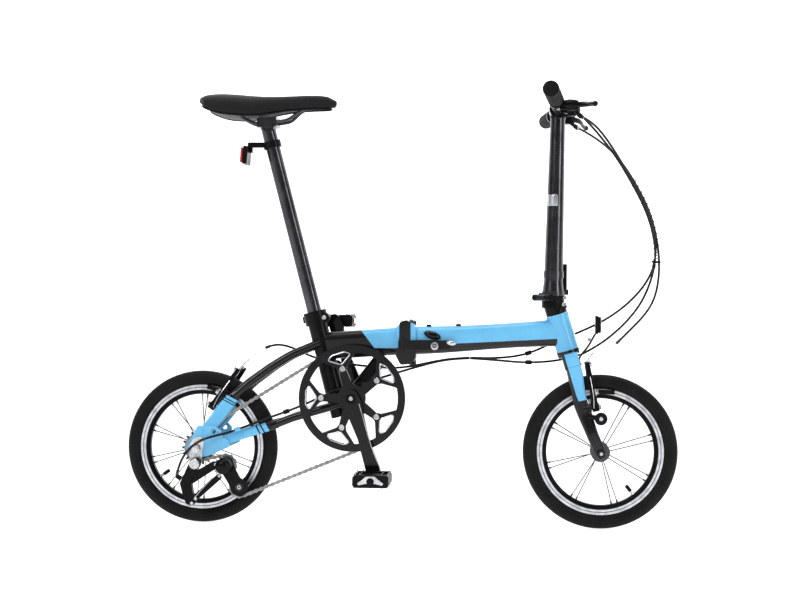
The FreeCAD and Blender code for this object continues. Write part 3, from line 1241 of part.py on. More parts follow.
SADDLE_STATIONS = [(-3, 44, 914, 896, 5), (10, 60, 918, 882, 8), (40, 66, 920, 866, 9), (80, 62, 918.5, 860, 9),
                   (115, 46, 917, 868, 9), (150, 32, 915, 877, 9), (190, 24, 913, 885, 9), (230, 20, 911, 889, 8),
                   (265, 17, 908, 892, 7), (282, 9, 903, 894, 4)]


def saddle_section(x, half, top, rim_z, shell):
    """An arch across the saddle: crowned outside, hollow below."""
    outer = [(half * 0.96, rim_z), (half, rim_z + 0.45 * (top - rim_z)), (half * 0.62, top - 2.5), (0, top)]
    inner = [(half * 0.96 - shell * 0.6, rim_z), (half - shell, rim_z + 0.4 * (top - rim_z)),
             (half * 0.55, top - shell - 3), (0, top - shell)]
    edges = []
    for arch in (outer, inner):
        points = arch + [(-y, z) for y, z in reversed(arch[:-1])]
        curve = Part.BSplineCurve()
        curve.interpolate([at(x, y, z) for y, z in points])
        edges.append(curve.toShape())
    lips = [Part.LineSegment(at(x, side * outer[0][0], rim_z), at(x, side * inner[0][0], rim_z)).toShape()
            for side in (1, -1)]
    return Part.Wire([edges[0], lips[1], edges[1], lips[0]])


def saddle():
    shell = Part.makeLoft([saddle_section(*station) for station in SADDLE_STATIONS], True, False)
    return node(feature("saddle_shell", shell), "saddle")


def seat_reflector():
    """A band on the post, an arm to the rear and the reflector's housing."""
    band = seat_cylinder("reflector_band", 806, 820, "Sizes.post_radius + 4")
    room = seat_cylinder("reflector_band_room", 795, 830, "Sizes.post_radius")
    x, _, z = on_seat_axis(813)
    arm = box("reflector_arm", (96, -5, z - 6), (x - 14, 5, z + 5))
    stem = box("reflector_stem", (94, -5, 796), (104, 5, z + 5))
    housing = box("reflector_housing", (85, -24, 771), (95, 24, 809), Rotation(Y_AXIS, 4))
    return node(cut("seat_reflector_cut", fuse("seat_reflector_set", band, arm, stem, housing), room),
                "seat_reflector")


# ---------------------------------------------------------------- cables
FRONT_BRAKE_ROUTE = [
    (799, 102, 863), (824, 92, 848), (850, 70, 828), (874, 38, 803), (896, 4, 772), (917, -20, 735),
    (944, -13, 687), (960, -5, 645), (970, 0, 598), (973, -2, 556), (970, -5, 516), (960, -8, 480),
    (940, -10, 450), (912, -12, 421), (883, -14, 392),
]
REAR_BRAKE_ROUTE = [
    (799, -102, 863), (826, -90, 850), (853, -70, 823), (880, -50, 786), (910, -34, 739), (939, -21, 690),
    (956, -13, 646), (965, -6, 602), (964, 1, 562), (951, 8, 528), (928, 14, 496), (898, 21, 467),
    (864, 27, 443), (830, 31, 425), (798, 33, 411),
]
SHIFT_ROUTE = [
    (802, -84, 866), (824, -76, 845), (850, -60, 817), (879, -42, 782), (908, -28, 737), (936, -15, 688),
    (954, -7, 644), (964, 0, 600), (965, 7, 561), (955, 15, 519), (938, 22, 479), (912, 30, 443),
    (881, 37, 412), (846, 43, 385), (815, 46, 368),
]
BEAM_REAR_BRAKE_ROUTE = [
    (796.8, 33, 410.5), (771, 33, 401), (743, 30, 388), (713, 25, 374), (681, 19, 364), (646, 13, 359.5),
    (610, 9, 358), (575, 7, 359),
]
BEAM_SHIFT_ROUTE = [
    (813.8, 46, 367.6), (784, 47, 358), (750, 41, 352), (715, 29, 349.5), (680, 14, 350), (646, 2, 353),
    (611, -6, 356), (575, -7, 358),
]
REAR_BRAKE_TAIL = [
    (574, 7, 359), (539, 8, 357), (502, 10, 351), (465, 14, 342.5), (430, 19, 336), (394, 24, 334.5),
    (358, 27, 337), (322, 28.5, 341), (286, 29, 345.5), (252, 30, 351.5), (222, 32, 360.5), (197, 32, 373),
    (172, 26, 382), (149, 17, 383), (133, 10, 376),
]
SHIFT_TAIL = [
    (574, -7, 358), (539, -9, 356.5), (502, -13, 350), (465, -18, 339.5), (430, -23, 329.5), (395, -27, 318),
    (362, -29.5, 308), (328, -31.5, 299.5), (295, -33, 289), (262, -34, 275), (227, -35, 258.5), (192, -37, 244),
    (158, -41, 232), (124, -49, 219), (90, -59, 206), (60, -69.5, 196), (34, -75, 190), (10, -79, 182),
    (-11, -81.5, 167), (-26, -82, 147), (-35, -82, 126), (-39, -81, 108),
]


def cables():
    node(housing("front_brake_run", FRONT_BRAKE_ROUTE), "front_brake_cable")
    node(housing("rear_brake_run", REAR_BRAKE_ROUTE), "rear_brake_cable")
    node(housing("shift_run", SHIFT_ROUTE), "shift_cable")
    node(group("beam_runs", housing("beam_rear_brake_run", BEAM_REAR_BRAKE_ROUTE),
               housing("beam_shift_run", BEAM_SHIFT_ROUTE)), "beam_cables")
    node(group("rear_runs", housing("rear_brake_tail_run", REAR_BRAKE_TAIL),
               housing("shift_tail_run", SHIFT_TAIL)), "rear_cables")


# ---------------------------------------------------------------- assembly
def wheels():
    tyre("front", FRONT)
    rim("front", FRONT)
    spokes("front", FRONT, int(size("front_spoke_pairs")), 15.9, 17, 20, -20)
    hub("front", FRONT, size("front_hub_end"), 20.4, 13, 20, -20)
    axle("front", FRONT, size("front_dropout_inner"), (45, 45), size("front_hub_end"))
    tyre("rear", 0)
    rim("rear", 0)
    spokes("rear", 0, int(size("rear_spoke_pairs")), 16, 20, 26, -24)
    hub("rear", 0, size("rear_hub_end"), 23, 16, 26, -24)
    axle("rear", 0, size("rear_dropout_inner"), (69, 66), size("rear_hub_end"))


def build():
    for make in (rear_beam, seat_tube, seatstays, chainstays, seat_clamp_collar, seat_clamp_lever,
                 bottom_bracket, derailleur_hanger, chain, wheels, cassette, chainring, front_beam, head_tube,
                 headset_cups, hinge_pin, frame_latch_lever, fork_crown, fork_blades, front_bracket,
                 handlepost_base, handlepost, handlepost_latch, handlebar, stem_clamp, grips, lever_perches,
                 shifter_lever, brake_arms, derailleur_knuckle, derailleur_cage, seatpost,
                 saddle_rails, saddle, seat_reflector, cables):
        make()
    crank(-1, size("crank_angle"))
    crank(1, size("crank_angle") + 180)
    pedal(-1, size("crank_angle"))
    pedal(1, size("crank_angle") + 180)
    brake_blade(-1)
    brake_blade(1)
    pulley("guide_pulley", WRAPS[2])
    pulley("tension_pulley", WRAPS[1])


def export():
    doc.recompute()
    failed = [o.Name for o in doc.Objects if {"Invalid", "Error"} & set(o.State)]
    bad = [o.Label for o in nodes if o.Shape.isNull() or not o.Shape.isValid() or not o.Shape.Solids]
    if failed or bad:
        raise SystemExit(f"failed: {failed}; bad shapes: {bad}")
    os.makedirs("parts", exist_ok=True)
    for part in nodes:
        part.Shape.exportStep(f"parts/{part.Label}.step")
    print(f"{len(nodes)} parts, {sum(len(part.Shape.Solids) for part in nodes)} solids")


build()
export()
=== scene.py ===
"""Folding bicycle with small wheels: its looks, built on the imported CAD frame.

Metres, in the frame of the CAD: +X forwards, +Y to the rider's left, +Z up. Places given to at()
are measured forwards from the rear axle, from the wheels' plane and from the floor.
"""
import math
import bmesh
import bpy
from mathutils import Matrix, Vector


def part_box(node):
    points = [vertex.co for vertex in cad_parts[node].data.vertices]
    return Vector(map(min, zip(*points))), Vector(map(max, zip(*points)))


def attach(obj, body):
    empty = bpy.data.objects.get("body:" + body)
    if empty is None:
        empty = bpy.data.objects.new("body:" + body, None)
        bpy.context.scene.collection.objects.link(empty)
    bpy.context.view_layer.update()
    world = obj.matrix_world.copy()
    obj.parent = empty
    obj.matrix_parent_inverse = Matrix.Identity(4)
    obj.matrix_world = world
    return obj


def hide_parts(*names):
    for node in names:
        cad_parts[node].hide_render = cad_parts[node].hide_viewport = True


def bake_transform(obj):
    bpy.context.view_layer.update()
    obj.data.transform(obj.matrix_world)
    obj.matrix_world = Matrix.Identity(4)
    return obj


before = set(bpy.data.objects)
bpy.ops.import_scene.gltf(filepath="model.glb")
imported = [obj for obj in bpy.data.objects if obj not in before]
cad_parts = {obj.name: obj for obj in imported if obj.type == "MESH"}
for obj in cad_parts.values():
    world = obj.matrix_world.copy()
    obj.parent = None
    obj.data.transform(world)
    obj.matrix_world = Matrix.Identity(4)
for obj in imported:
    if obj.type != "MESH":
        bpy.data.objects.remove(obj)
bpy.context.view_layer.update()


def middle(node):
    low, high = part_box(node)
    return (Vector(low) + Vector(high)) / 2


REAR_AXLE = Vector((middle("rear_hub").x, 0, middle("rear_hub").z))
FRONT_AXLE = Vector((middle("front_hub").x, 0, middle("front_hub").z))
LEFT = Vector((0, 1, 0))
RIGHT = Vector((0, -1, 0))


def at(x, y, z):
    """The point x forwards of the rear axle, y to the left and z above the floor."""
    return Vector((REAR_AXLE.x + x, y, z))


# ---------------------------------------------------------------- materials
def linear(red, green, blue):
    """A colour given as 0 to 255 display values."""
    return tuple((v / 255 / 12.92) if v < 10 else ((v / 255 + 0.055) / 1.055) ** 2.4
                 for v in (red, green, blue)) + (1.0,)


def scaled(colour, factor):
    """The colour made darker or lighter."""
    return tuple(v * factor for v in colour[:3]) + (1.0,)


class Finish:
    """A material, with short calls for the nodes that a finish needs."""

    def __init__(self, name, roughness=0.5, metallic=0.0, coat=0.0, coat_roughness=0.05, ior=1.5):
        self.material = bpy.data.materials.new(name)
        self.material.use_nodes = True
        self.tree = self.material.node_tree
        self.shader = self.tree.nodes["Principled BSDF"]
        self.place = self.tree.nodes.new("ShaderNodeTexCoord").outputs["Object"]
        self.set(Roughness=roughness, Metallic=metallic, IOR=ior, Coat_Weight=coat,
                 Coat_Roughness=coat_roughness)
        self.normal = None

    def set(self, **values):
        """Sets or links inputs of the shader by name."""
        for name, value in values.items():
            self.feed(self.shader.inputs[name.replace("_", " ")], value)
        return self

    def feed(self, socket, value):
        if isinstance(value, bpy.types.NodeSocket):
            self.tree.links.new(value, socket)
        else:
            socket.default_value = value

    def math(self, operation, *values):
        made = self.tree.nodes.new("ShaderNodeMath")
        made.operation = operation
        for socket, value in zip(made.inputs, values):
            self.feed(socket, value)
        return made.outputs[0]

    def vector(self, operation, one, other):
        made = self.tree.nodes.new("ShaderNodeVectorMath")
        made.operation = operation
        self.feed(made.inputs[0], one)
        self.feed(made.inputs[1], other)
        return made.outputs["Value" if operation in ("DOT_PRODUCT", "LENGTH") else "Vector"]

    def noise(self, scale, detail=3.0, roughness=0.5, stretch=(1, 1, 1)):
        """Soft noise; scale is in cells to the metre, and stretch makes them longer along an axis."""
        made = self.tree.nodes.new("ShaderNodeTexNoise")
        self.feed(made.inputs["Vector"], self.vector("MULTIPLY", self.place, stretch))
        made.inputs["Scale"].default_value = scale
        made.inputs["Detail"].default_value = detail
        made.inputs["Roughness"].default_value = roughness
        return made.outputs["Fac"]

    def patches(self, scale, detail, low=0.3, high=0.7, start=0.0, stop=1.0):
        """Noise with its middle stretched, from start to stop."""
        return self.remap(self.noise(scale, detail), low, high, start, stop)

    def cells(self, scale, feature="F1"):
        made = self.tree.nodes.new("ShaderNodeTexVoronoi")
        made.feature = feature
        self.feed(made.inputs["Vector"], self.place)
        made.inputs["Scale"].default_value = scale
        return made.outputs["Distance"]

    def remap(self, value, low, high, start=0.0, stop=1.0):
        made = self.tree.nodes.new("ShaderNodeMapRange")
        made.interpolation_type = "SMOOTHSTEP"
        for socket, amount in zip(made.inputs, (value, low, high, start, stop)):
            self.feed(socket, amount)
        return made.outputs[0]

    def blend(self, share, first, second):
        made = self.tree.nodes.new("ShaderNodeMix")
        made.data_type = "RGBA"
        for name, kind, value in (("Factor", "VALUE", share), ("A", "RGBA", first), ("B", "RGBA", second)):
            self.feed(next(s for s in made.inputs if s.name == name and s.type == kind), value)
        return next(s for s in made.outputs if s.type == "RGBA")

    def bump(self, height, depth):
        """Adds relief, depth metres deep where height goes from 0 to 1."""
        made = self.tree.nodes.new("ShaderNodeBump")
        made.inputs["Strength"].default_value = 1.0
        made.inputs["Distance"].default_value = depth
        self.feed(made.inputs["Height"], height)
        if self.normal is not None:
            self.feed(made.inputs["Normal"], self.normal)
        self.normal = made.outputs["Normal"]
        self.feed(self.shader.inputs["Normal"], self.normal)
        return self

    def beyond(self, start, stop):
        """How far a point lies to the left of the line from start to stop, in the view from the right."""
        one, two = at(start[0], 0, start[1]), at(stop[0], 0, stop[1])
        way = (two - one).normalized()
        normal = Vector((-way.z, 0, way.x))
        return self.math("SUBTRACT", self.vector("DOT_PRODUCT", self.place, normal), one.dot(normal))

    def share(self, distance, softness=0.00025):
        """1 where distance is above zero, 0 below."""
        return self.remap(distance, -softness, softness)

    def from_axis(self, centre):
        """Distance from the line along Y through centre."""
        flat = self.vector("MULTIPLY", self.vector("SUBTRACT", self.place, tuple(centre)), (1, 0, 1))
        return self.vector("LENGTH", flat, (0, 0, 0))


BLUE = linear(104, 182, 226)
BLACK = linear(10, 10, 12)


def paint(name, colour=BLACK, region=None, under=BLACK, roughness=0.3, coat=0.5):
    """Sprayed enamel under lacquer. region(finish) says where the first colour ends and under begins."""
    made = Finish(name, roughness, coat=coat, coat_roughness=0.06, ior=1.18)
    cloud = made.patches(22, 2)
    shade = made.blend(cloud, colour, scaled(colour, 0.9))
    if region is not None:
        dark = made.blend(cloud, under, scaled(under, 1.25))
        shade = made.blend(region(made), dark, shade)
    dust = made.patches(900, 2, 0.62, 0.8, 0.0, 0.08)
    made.set(Base_Color=made.blend(dust, shade, linear(126, 128, 132)))
    made.set(Roughness=made.patches(60, 4, 0.3, 0.7, roughness - 0.06, roughness + 0.08))
    made.bump(made.noise(700, 2), 0.000025)
    return made.material


def above(*corners):
    """A region over a line that runs forwards through the corners (x, z)."""
    return lambda f: f.share(f.beyond(*corners))


def panel(*corners):
    """A convex region inside corners (x, z), which go round anticlockwise seen from the right."""
    def region(f):
        edges = [f.beyond(a, b) for a, b in zip(corners, corners[1:] + corners[:1])]
        inside = edges[0]
        for edge in edges[1:]:
            inside = f.math("MINIMUM", inside, edge)
        return f.share(inside)
    return region


def striped(start, stop, bands):
    """Left of the line from start to stop, less the bands (near, far) beyond it."""
    def region(f):
        distance = f.beyond(start, stop)
        whole = distance
        for near, far in bands:
            outside = f.math("MAXIMUM", f.math("SUBTRACT", near, distance),
                             f.math("SUBTRACT", distance, far))
            whole = f.math("MINIMUM", whole, outside)
        return f.share(whole)
    return region


def metal(name, colour, roughness, grain=(1, 1, 1), scale=400, depth=0.00003, wear=0.12):
    """Bare, brushed or polished metal; grain says along which axis its scratches run."""
    made = Finish(name, roughness, metallic=1.0)
    worn = made.patches(40, 5, 0.35, 0.7)
    made.set(Base_Color=made.blend(worn, colour, scaled(colour, 0.72)))
    streaks = made.noise(scale, 4, 0.6, grain)
    made.set(Roughness=made.remap(streaks, 0.3, 0.7, max(0.05, roughness - wear), roughness + wear))
    return made.bump(streaks, depth).material


def plastic(name, colour, roughness=0.5, grain=1600, depth=0.00006, coat=0.0):
    """Moulded plastic or rubber with a fine pebble."""
    made = Finish(name, roughness, coat=coat, ior=1.22)
    cloud = made.patches(35, 3)
    made.set(Base_Color=made.blend(cloud, colour, scaled(colour, 0.8)))
    made.set(Roughness=made.patches(120, 3, 0.3, 0.7, roughness - 0.07, roughness + 0.07))
    return made.bump(made.cells(grain), depth).bump(made.noise(grain * 0.4, 2), depth * 0.5).material


TRACK_INNER, TRACK_OUTER, TRACK_GROOVE = 0.1222, 0.1335, 0.1275


def rim_finish(name, axle):
    """Black eloxal with a turned, bright track where the brake pads run."""
    made = Finish(name, 0.35, metallic=0.9)
    radius = made.from_axis(axle)
    track = made.math("MULTIPLY", made.share(made.math("SUBTRACT", radius, TRACK_INNER)),
                      made.share(made.math("SUBTRACT", TRACK_OUTER, radius)))
    rings = made.math("SINE", made.math("MULTIPLY", radius, 9000.0))
    groove = made.math("ABSOLUTE", made.math("SUBTRACT", radius, TRACK_GROOVE))
    line = made.math("MULTIPLY", track, made.remap(groove, 0.0004, 0.0009, 1.0, 0.0))
    bright = made.blend(made.patches(70, 4, 0.3, 0.75), linear(218, 220, 224), linear(176, 178, 184))
    # The groove is coloured darker than the track round it: painted shade in the groove.
    bright = made.blend(line, bright, linear(70, 72, 78))
    made.set(Base_Color=made.blend(track, linear(20, 20, 22), bright))
    made.set(Roughness=made.math("SUBTRACT", 0.42, made.math("MULTIPLY", track, 0.14)))
    return made.bump(rings, 0.000012).bump(line, -0.0003).material


def rubber(name):
    made = Finish(name, 0.6, ior=1.22)
    cloud = made.patches(30, 4)
    shade = made.blend(cloud, linear(13, 13, 14), linear(20, 20, 21))
    dust = made.patches(260, 4, 0.58, 0.8, 0.0, 0.25)
    made.set(Base_Color=made.blend(dust, shade, linear(52, 51, 50)))
    return made.bump(made.noise(1400, 3), 0.00008).material


def lens(name, colour):
    """A reflector's face: clear plastic over a field of small prisms, with a faint painted glow in its own
    colour.
    """
    made = Finish(name, 0.12, coat=1.0, coat_roughness=0.03)
    facets = made.cells(420)
    shade = made.blend(made.remap(facets, 0.1, 0.7), colour, scaled(colour, 0.45))
    # The faint emission in the lens colour is a painted glow.
    made.set(Base_Color=shade, Emission_Color=colour, Emission_Strength=0.12)
    return made.bump(facets, 0.0006).material


def cover(name):
    """The saddle's cover: fine synthetic leather with a soft sheen."""
    made = Finish(name, 0.46, ior=1.24)
    grain = made.cells(1100, "DISTANCE_TO_EDGE")
    creases = made.noise(260, 5, 0.6)
    # The colour is darker in the low parts of the creases: painted shade.
    made.set(Base_Color=made.blend(made.remap(creases, 0.3, 0.75), linear(10, 10, 12), linear(18, 18, 20)))
    made.set(Roughness=made.remap(creases, 0.3, 0.7, 0.38, 0.55))
    made.set(Sheen_Weight=0.06)
    return made.bump(made.remap(grain, 0.0, 0.25), 0.00012).bump(creases, 0.0001).material


SATIN = paint("satin_black", roughness=0.34, coat=0.08)
GLOSS = paint("gloss_black", linear(8, 8, 10), roughness=0.2, coat=0.3)
ANODISED = metal("black_anodised", linear(78, 78, 82), 0.22, (1, 1, 0.05), 500, 0.00001, 0.06)
ALUMINIUM = metal("bare_aluminium", linear(206, 208, 212), 0.3, (1, 1, 1))
STEEL = metal("bright_steel", linear(196, 197, 200), 0.22, (1, 1, 0.2), 600, 0.00001)
CHAIN = metal("chain_steel", linear(150, 150, 148), 0.34, (1, 1, 1), 900, 0.00002)
DARK_STEEL = metal("dark_steel", linear(72, 72, 76), 0.36)
RUBBER = rubber("tyre_rubber")
PLASTIC = plastic("black_plastic", linear(11, 11, 13), 0.42)
GRIP_RUBBER = plastic("grip_rubber", linear(13, 13, 14), 0.64, 2200, 0.0001)
HOUSING = plastic("cable_housing", linear(18, 18, 20), 0.3, 3000, 0.00002, coat=0.2)
GREY_HOUSING = plastic("cable_housing_grey", linear(26, 26, 30), 0.34, 3000, 0.00002, coat=0.2)
COVER = cover("saddle_cover")
RED_LENS = lens("red_lens", linear(206, 34, 26))
WHITE_LENS = lens("white_lens", linear(226, 230, 232))
AMBER_LENS = lens("amber_lens", linear(232, 128, 22))
LABEL = metal("silver_label", linear(188, 190, 196), 0.35, (1, 1, 0.1))


# ---------------------------------------------------------------- mesh building
def across(direction):
    """Two unit vectors square to direction and to each other."""
    way = Vector(direction).normalized()
    helper = Vector((0, 0, 1)) if abs(way.z) < 0.9 else Vector((1, 0, 0))
    first = way.cross(helper).normalized()
    return first, way.cross(first)


def add(name, points, faces, finish, body=None, crease=35):
    """A mesh object with outward faces, edges sharper than crease degrees left sharp."""
    mesh = bpy.data.meshes.new(name)
    mesh.from_pydata([tuple(p) for p in points], [], faces)
    work = bmesh.new()
    work.from_mesh(mesh)
    bmesh.ops.recalc_face_normals(work, faces=work.faces)
    work.to_mesh(mesh)
    work.free()
    mesh.materials.append(finish)
    mesh.shade_smooth()
    mesh.set_sharp_from_angle(angle=math.radians(crease))
    made = bpy.data.objects.new(name, mesh)
    bpy.context.scene.collection.objects.link(made)
    if body:
        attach(made, body)
    return made


def skin(rows, closed=False):
    """Points and faces through rows of equally many points; the end rows are capped unless closed."""
    count = len(rows[0])
    points = [p for row in rows for p in row]
    faces = []
    for i in range(len(rows) if closed else len(rows) - 1):
        one, two = i * count, (i + 1) % len(rows) * count
        faces += [(one + k, one + (k + 1) % count, two + (k + 1) % count, two + k) for k in range(count)]
    if not closed:
        faces += [tuple(range(count)), tuple(range(len(points) - count, len(points)))]
    return points, faces


def merged(*meshes):
    """Several (points, faces) as one."""
    points, faces = [], []
    for more, their_faces in meshes:
        faces += [tuple(i + len(points) for i in face) for face in their_faces]
        points += list(more)
    return points, faces


def ring(centre, direction, radius, sides, corners=0):
    """Points round centre; with corners, a polygon of that many corners instead of a circle."""
    one, two = across(direction)
    made = []
    for k in range(sides):
        angle = 2 * math.pi * k / sides
        reach = radius
        if corners:
            part = angle % (2 * math.pi / corners) - math.pi / corners
            reach = radius * math.cos(math.pi / corners) / math.cos(part)
        made.append(centre + (one * math.cos(angle) + two * math.sin(angle)) * reach)
    return made


def turned(profile, centre, direction, sides=24, corners=0):
    """A body of revolution: profile is (along, radius) pairs from centre along direction."""
    way = Vector(direction).normalized()
    return skin([ring(centre + way * along, way, radius, sides, corners) for along, radius in profile])


def ribs(start, step, high, low, count):
    """Part of a profile that goes up and down count times, as on a knurled cap or a bellows."""
    return [(start + step * k, high if k % 2 else low) for k in range(count)]


def lathe(name, profile, centre, direction, finish, body, sides=24):
    """Adds a turned piece."""
    return add(name, *turned(profile, centre, direction, sides), finish, body)


def bolt(name, centre, direction, radius, height, body, finish=None):
    """Adds a cap screw's head with a hexagon socket, standing on centre and facing along direction."""
    way = Vector(direction).normalized()
    edge, socket = radius * 0.12, radius * 0.55
    rows = [ring(centre - way * 0.001, way, radius, 24),
            ring(centre + way * (height - edge), way, radius, 24),
            ring(centre + way * height, way, radius - edge, 24),
            ring(centre + way * height, way, socket, 24, 6),
            ring(centre + way * height * 0.3, way, socket * 0.92, 24, 6)]
    return add(name, *skin(rows), finish or STEEL, body)


def tube(path, radius, sides=8, closed=False):
    """A tube along path, open or closed; radius is a number or a function of the share of the length."""
    path = [Vector(p) for p in path]
    last = len(path) - 1
    rows = []
    side = across(path[1] - path[0])[0]
    for i, point in enumerate(path):
        ahead = path[(i + 1) % len(path)] if closed else path[min(i + 1, last)]
        behind = path[i - 1] if closed else path[max(i - 1, 0)]
        way = (ahead - behind).normalized()
        side = (side - way * side.dot(way)).normalized()
        other = way.cross(side)
        size = radius(i / last) if callable(radius) else radius
        rows.append([point + (side * math.cos(a) + other * math.sin(a)) * size
                     for a in (2 * math.pi * k / sides for k in range(sides))])
    return skin(rows, closed)


def spline(points, resolution=8):
    """Points along the NURBS curve that has the given control points."""
    curve = bpy.data.curves.new("route", "CURVE")
    curve.dimensions = "3D"
    line = curve.splines.new("NURBS")
    line.points.add(len(points) - 1)
    for spot, point in zip(line.points, points):
        spot.co = (*point, 1.0)
    line.order_u = 3
    line.use_endpoint_u = True
    curve.resolution_u = resolution
    holder = bpy.data.objects.new("route", curve)
    bpy.context.scene.collection.objects.link(holder)
    sampled = bpy.data.meshes.new_from_object(holder)
    made = [v.co.copy() for v in sampled.vertices]
    bpy.data.objects.remove(holder)
    bpy.data.curves.remove(curve)
    bpy.data.meshes.remove(sampled)
    return made


def slab(outline, place, thickness, edge=0.0004):
    """A flat plate with eased edges: outline is (u, v) pairs and place turns (u, v, height) into a point."""
    centre = [sum(p[i] for p in outline) / len(outline) for i in (0, 1)]
    span = max(math.dist(p, centre) for p in outline)
    shrunk = [tuple(c + (v - c) * (1 - edge / span) for v, c in zip(p, centre)) for p in outline]
    rows = [[place(*p, 0) for p in shrunk], [place(*p, edge) for p in outline],
            [place(*p, thickness - edge) for p in outline], [place(*p, thickness) for p in shrunk]]
    return skin(rows)


# ---------------------------------------------------------------- camera and light
def stage_light(name, place, target, size, power):
    made = bpy.data.objects.new(name, bpy.data.lights.new(name, "AREA"))
    made.data.shape = "RECTANGLE"
    made.data.size, made.data.size_y = size
    made.data.energy = power
    made.location = place
    made.rotation_euler = (Vector(target) - Vector(place)).to_track_quat("-Z", "Y").to_euler()
    bpy.context.scene.collection.objects.link(made)


def paper(name, scale, darker, lighter, strength):
    """A matt surface, faintly clouded, that gives off light of its own."""
    made = Finish(name, 1.0, ior=1.02)
    shade = made.blend(made.noise(scale, 2), (darker, darker, darker, 1), (lighter, lighter, lighter, 1))
    return made.set(Base_Color=shade, Emission_Color=shade, Emission_Strength=strength).material


def set_stage():
    """The camera that was fitted to the photograph's wheels, bar and pedals, and a white studio."""
    lens_data = bpy.data.cameras.new("camera")
    lens_data.sensor_width = 36
    lens_data.lens = 69.39
    camera = bpy.data.objects.new("camera", lens_data)
    bpy.context.scene.collection.objects.link(camera)
    camera.location = (0.252, -3.2877, 0.465)
    aim = Vector((-0.07672, 0.99705, 0.0)).to_track_quat("-Z", "Y").to_matrix().to_4x4()
    camera.matrix_world = (Matrix.Translation(camera.location) @ aim
                           @ Matrix.Rotation(math.radians(0.395), 4, "Z"))
    bpy.context.scene.camera = camera
    bpy.context.scene.view_settings.view_transform = "Standard"

    world = bpy.data.worlds.new("studio")
    world.use_nodes = True
    world.node_tree.nodes["Background"].inputs["Color"].default_value = (1, 1, 1, 1)
    world.node_tree.nodes["Background"].inputs["Strength"].default_value = 0.22
    bpy.context.scene.world = world
    stage_light("key", (-1.8, -2.4, 2.6), (0, 0, 0.5), (0.9, 2.0), 60)
    stage_light("fill", (2.6, -1.8, 1.4), (0, 0, 0.5), (0.7, 2.2), 30)
    stage_light("top", (0.2, -0.2, 3.2), (0, 0, 0.5), (2.2, 1.2), 34)

    reach = 40
    floor = add("floor", [(-reach, -reach, 0), (reach, -reach, 0), (reach, reach, 0), (-reach, reach, 0)],
                [(0, 1, 2, 3)], paper("pale_floor", 3, 0.5, 0.52, 1.7))
    backdrop = add("backdrop", [(-reach, 8, -1), (reach, 8, -1), (reach, 8, reach), (-reach, 8, reach)],
                   [(0, 1, 2, 3)], paper("bright_paper", 2, 0.97, 1, 1.02))


# ---------------------------------------------------------------- cables
def millimetres(*numbers):
    """Points x, y, z given in millimetres; x is forwards of the CAD frame's origin."""
    return [tuple(v / 1000 for v in numbers[i:i + 3]) for i in range(0, len(numbers), 3)]


FRONT_BRAKE_ROUTE = millimetres(
    373.5, 102, 863,  398.5, 92, 848,  424.5, 70, 828,  448.5, 38, 803,  470.5, 4, 772,
    491.5, -20, 735,  518.5, -13, 687,  534.5, -5, 645,  544.5, 0, 598,  547.5, -2, 556,
    544.5, -5, 516,  534.5, -8, 480,  514.5, -10, 450,  486.5, -12, 421,  457.5, -14, 392)
REAR_BRAKE_ROUTE = millimetres(
    373.5, -102, 863,  400.5, -90, 850,  427.5, -70, 823,  454.5, -50, 786,  484.5, -34, 739,
    513.5, -21, 690,  530.5, -13, 646,  539.5, -6, 602,  538.5, 1, 562,  525.5, 8, 528,
    502.5, 14, 496,  472.5, 21, 467,  438.5, 27, 443,  404.5, 31, 425,  372.5, 33, 411)
SHIFT_ROUTE = millimetres(
    376.5, -84, 866,  398.5, -76, 845,  424.5, -60, 817,  453.5, -42, 782,  482.5, -28, 737,
    510.5, -15, 688,  528.5, -7, 644,  538.5, 0, 600,  539.5, 7, 561,  529.5, 15, 519,  512.5, 22, 479,
    486.5, 30, 443,  455.5, 37, 412,  420.5, 43, 385,  389.5, 46, 368)
BEAM_REAR_BRAKE_ROUTE = millimetres(
    371.3, 33, 410.5,  345.5, 33, 401,  317.5, 30, 388,  287.5, 25, 374,  255.5, 19, 364,
    220.5, 13, 359.5,  184.5, 9, 358,  149.5, 7, 359)
BEAM_SHIFT_ROUTE = millimetres(
    388.3, 46, 367.6,  358.5, 47, 358,  324.5, 41, 352,  289.5, 29, 349.5,  254.5, 14, 350,
    220.5, 2, 353,  185.5, -6, 356,  149.5, -7, 358)
REAR_BRAKE_TAIL = millimetres(
    148.5, 7, 359,  113.5, 8, 357,  76.5, 10, 351,  39.5, 14, 342.5,  4.5, 19, 336,  -31.5, 24, 334.5,
    -67.5, 27, 337,  -103.5, 28.5, 341,  -139.5, 29, 345.5,  -173.5, 30, 351.5,  -203.5, 32, 360.5,
    -228.5, 32, 373,  -253.5, 26, 382,  -276.5, 17, 383,  -292.5, 10, 376)
SHIFT_TAIL = millimetres(
    148.5, -7, 358,  113.5, -9, 356.5,  76.5, -13, 350,  39.5, -18, 339.5,  4.5, -23, 329.5,
    -30.5, -27, 318,  -63.5, -29.5, 308,  -97.5, -31.5, 299.5,  -130.5, -33, 289,  -163.5, -34, 275,
    -198.5, -35, 258.5,  -233.5, -37, 244,  -267.5, -41, 232,  -301.5, -49, 219,  -335.5, -59, 206,
    -365.5, -69.5, 196,  -391.5, -75, 190,  -415.5, -79, 182,  -436.5, -81.5, 167,  -451.5, -82, 147,
    -460.5, -82, 126,  -464.5, -81, 108)
HOUSING_RADIUS = 0.0025
BUNDLE_TIE = 0.56                           # height of the tie where the front bundle parts


def lay_cord(name, path, length, finish, replaced, body=None, between=None, **facts):
    """A housing along path that rides on one body, or, when between is given, stays fixed where it is laid.
    """
    made = add(name, *tube(path, HOUSING_RADIUS, 14), finish, crease=60)
    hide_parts(replaced)
    if between:
        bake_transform(made)
    else:
        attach(made, body)
    return made


def parted(route):
    """The route's smooth line in two, above and below the tie of the bundle."""
    line = spline(route)
    at_tie = next(i for i, p in enumerate(line) if p.z < BUNDLE_TIE)
    return line[:at_tie + 1], line[at_tie:]


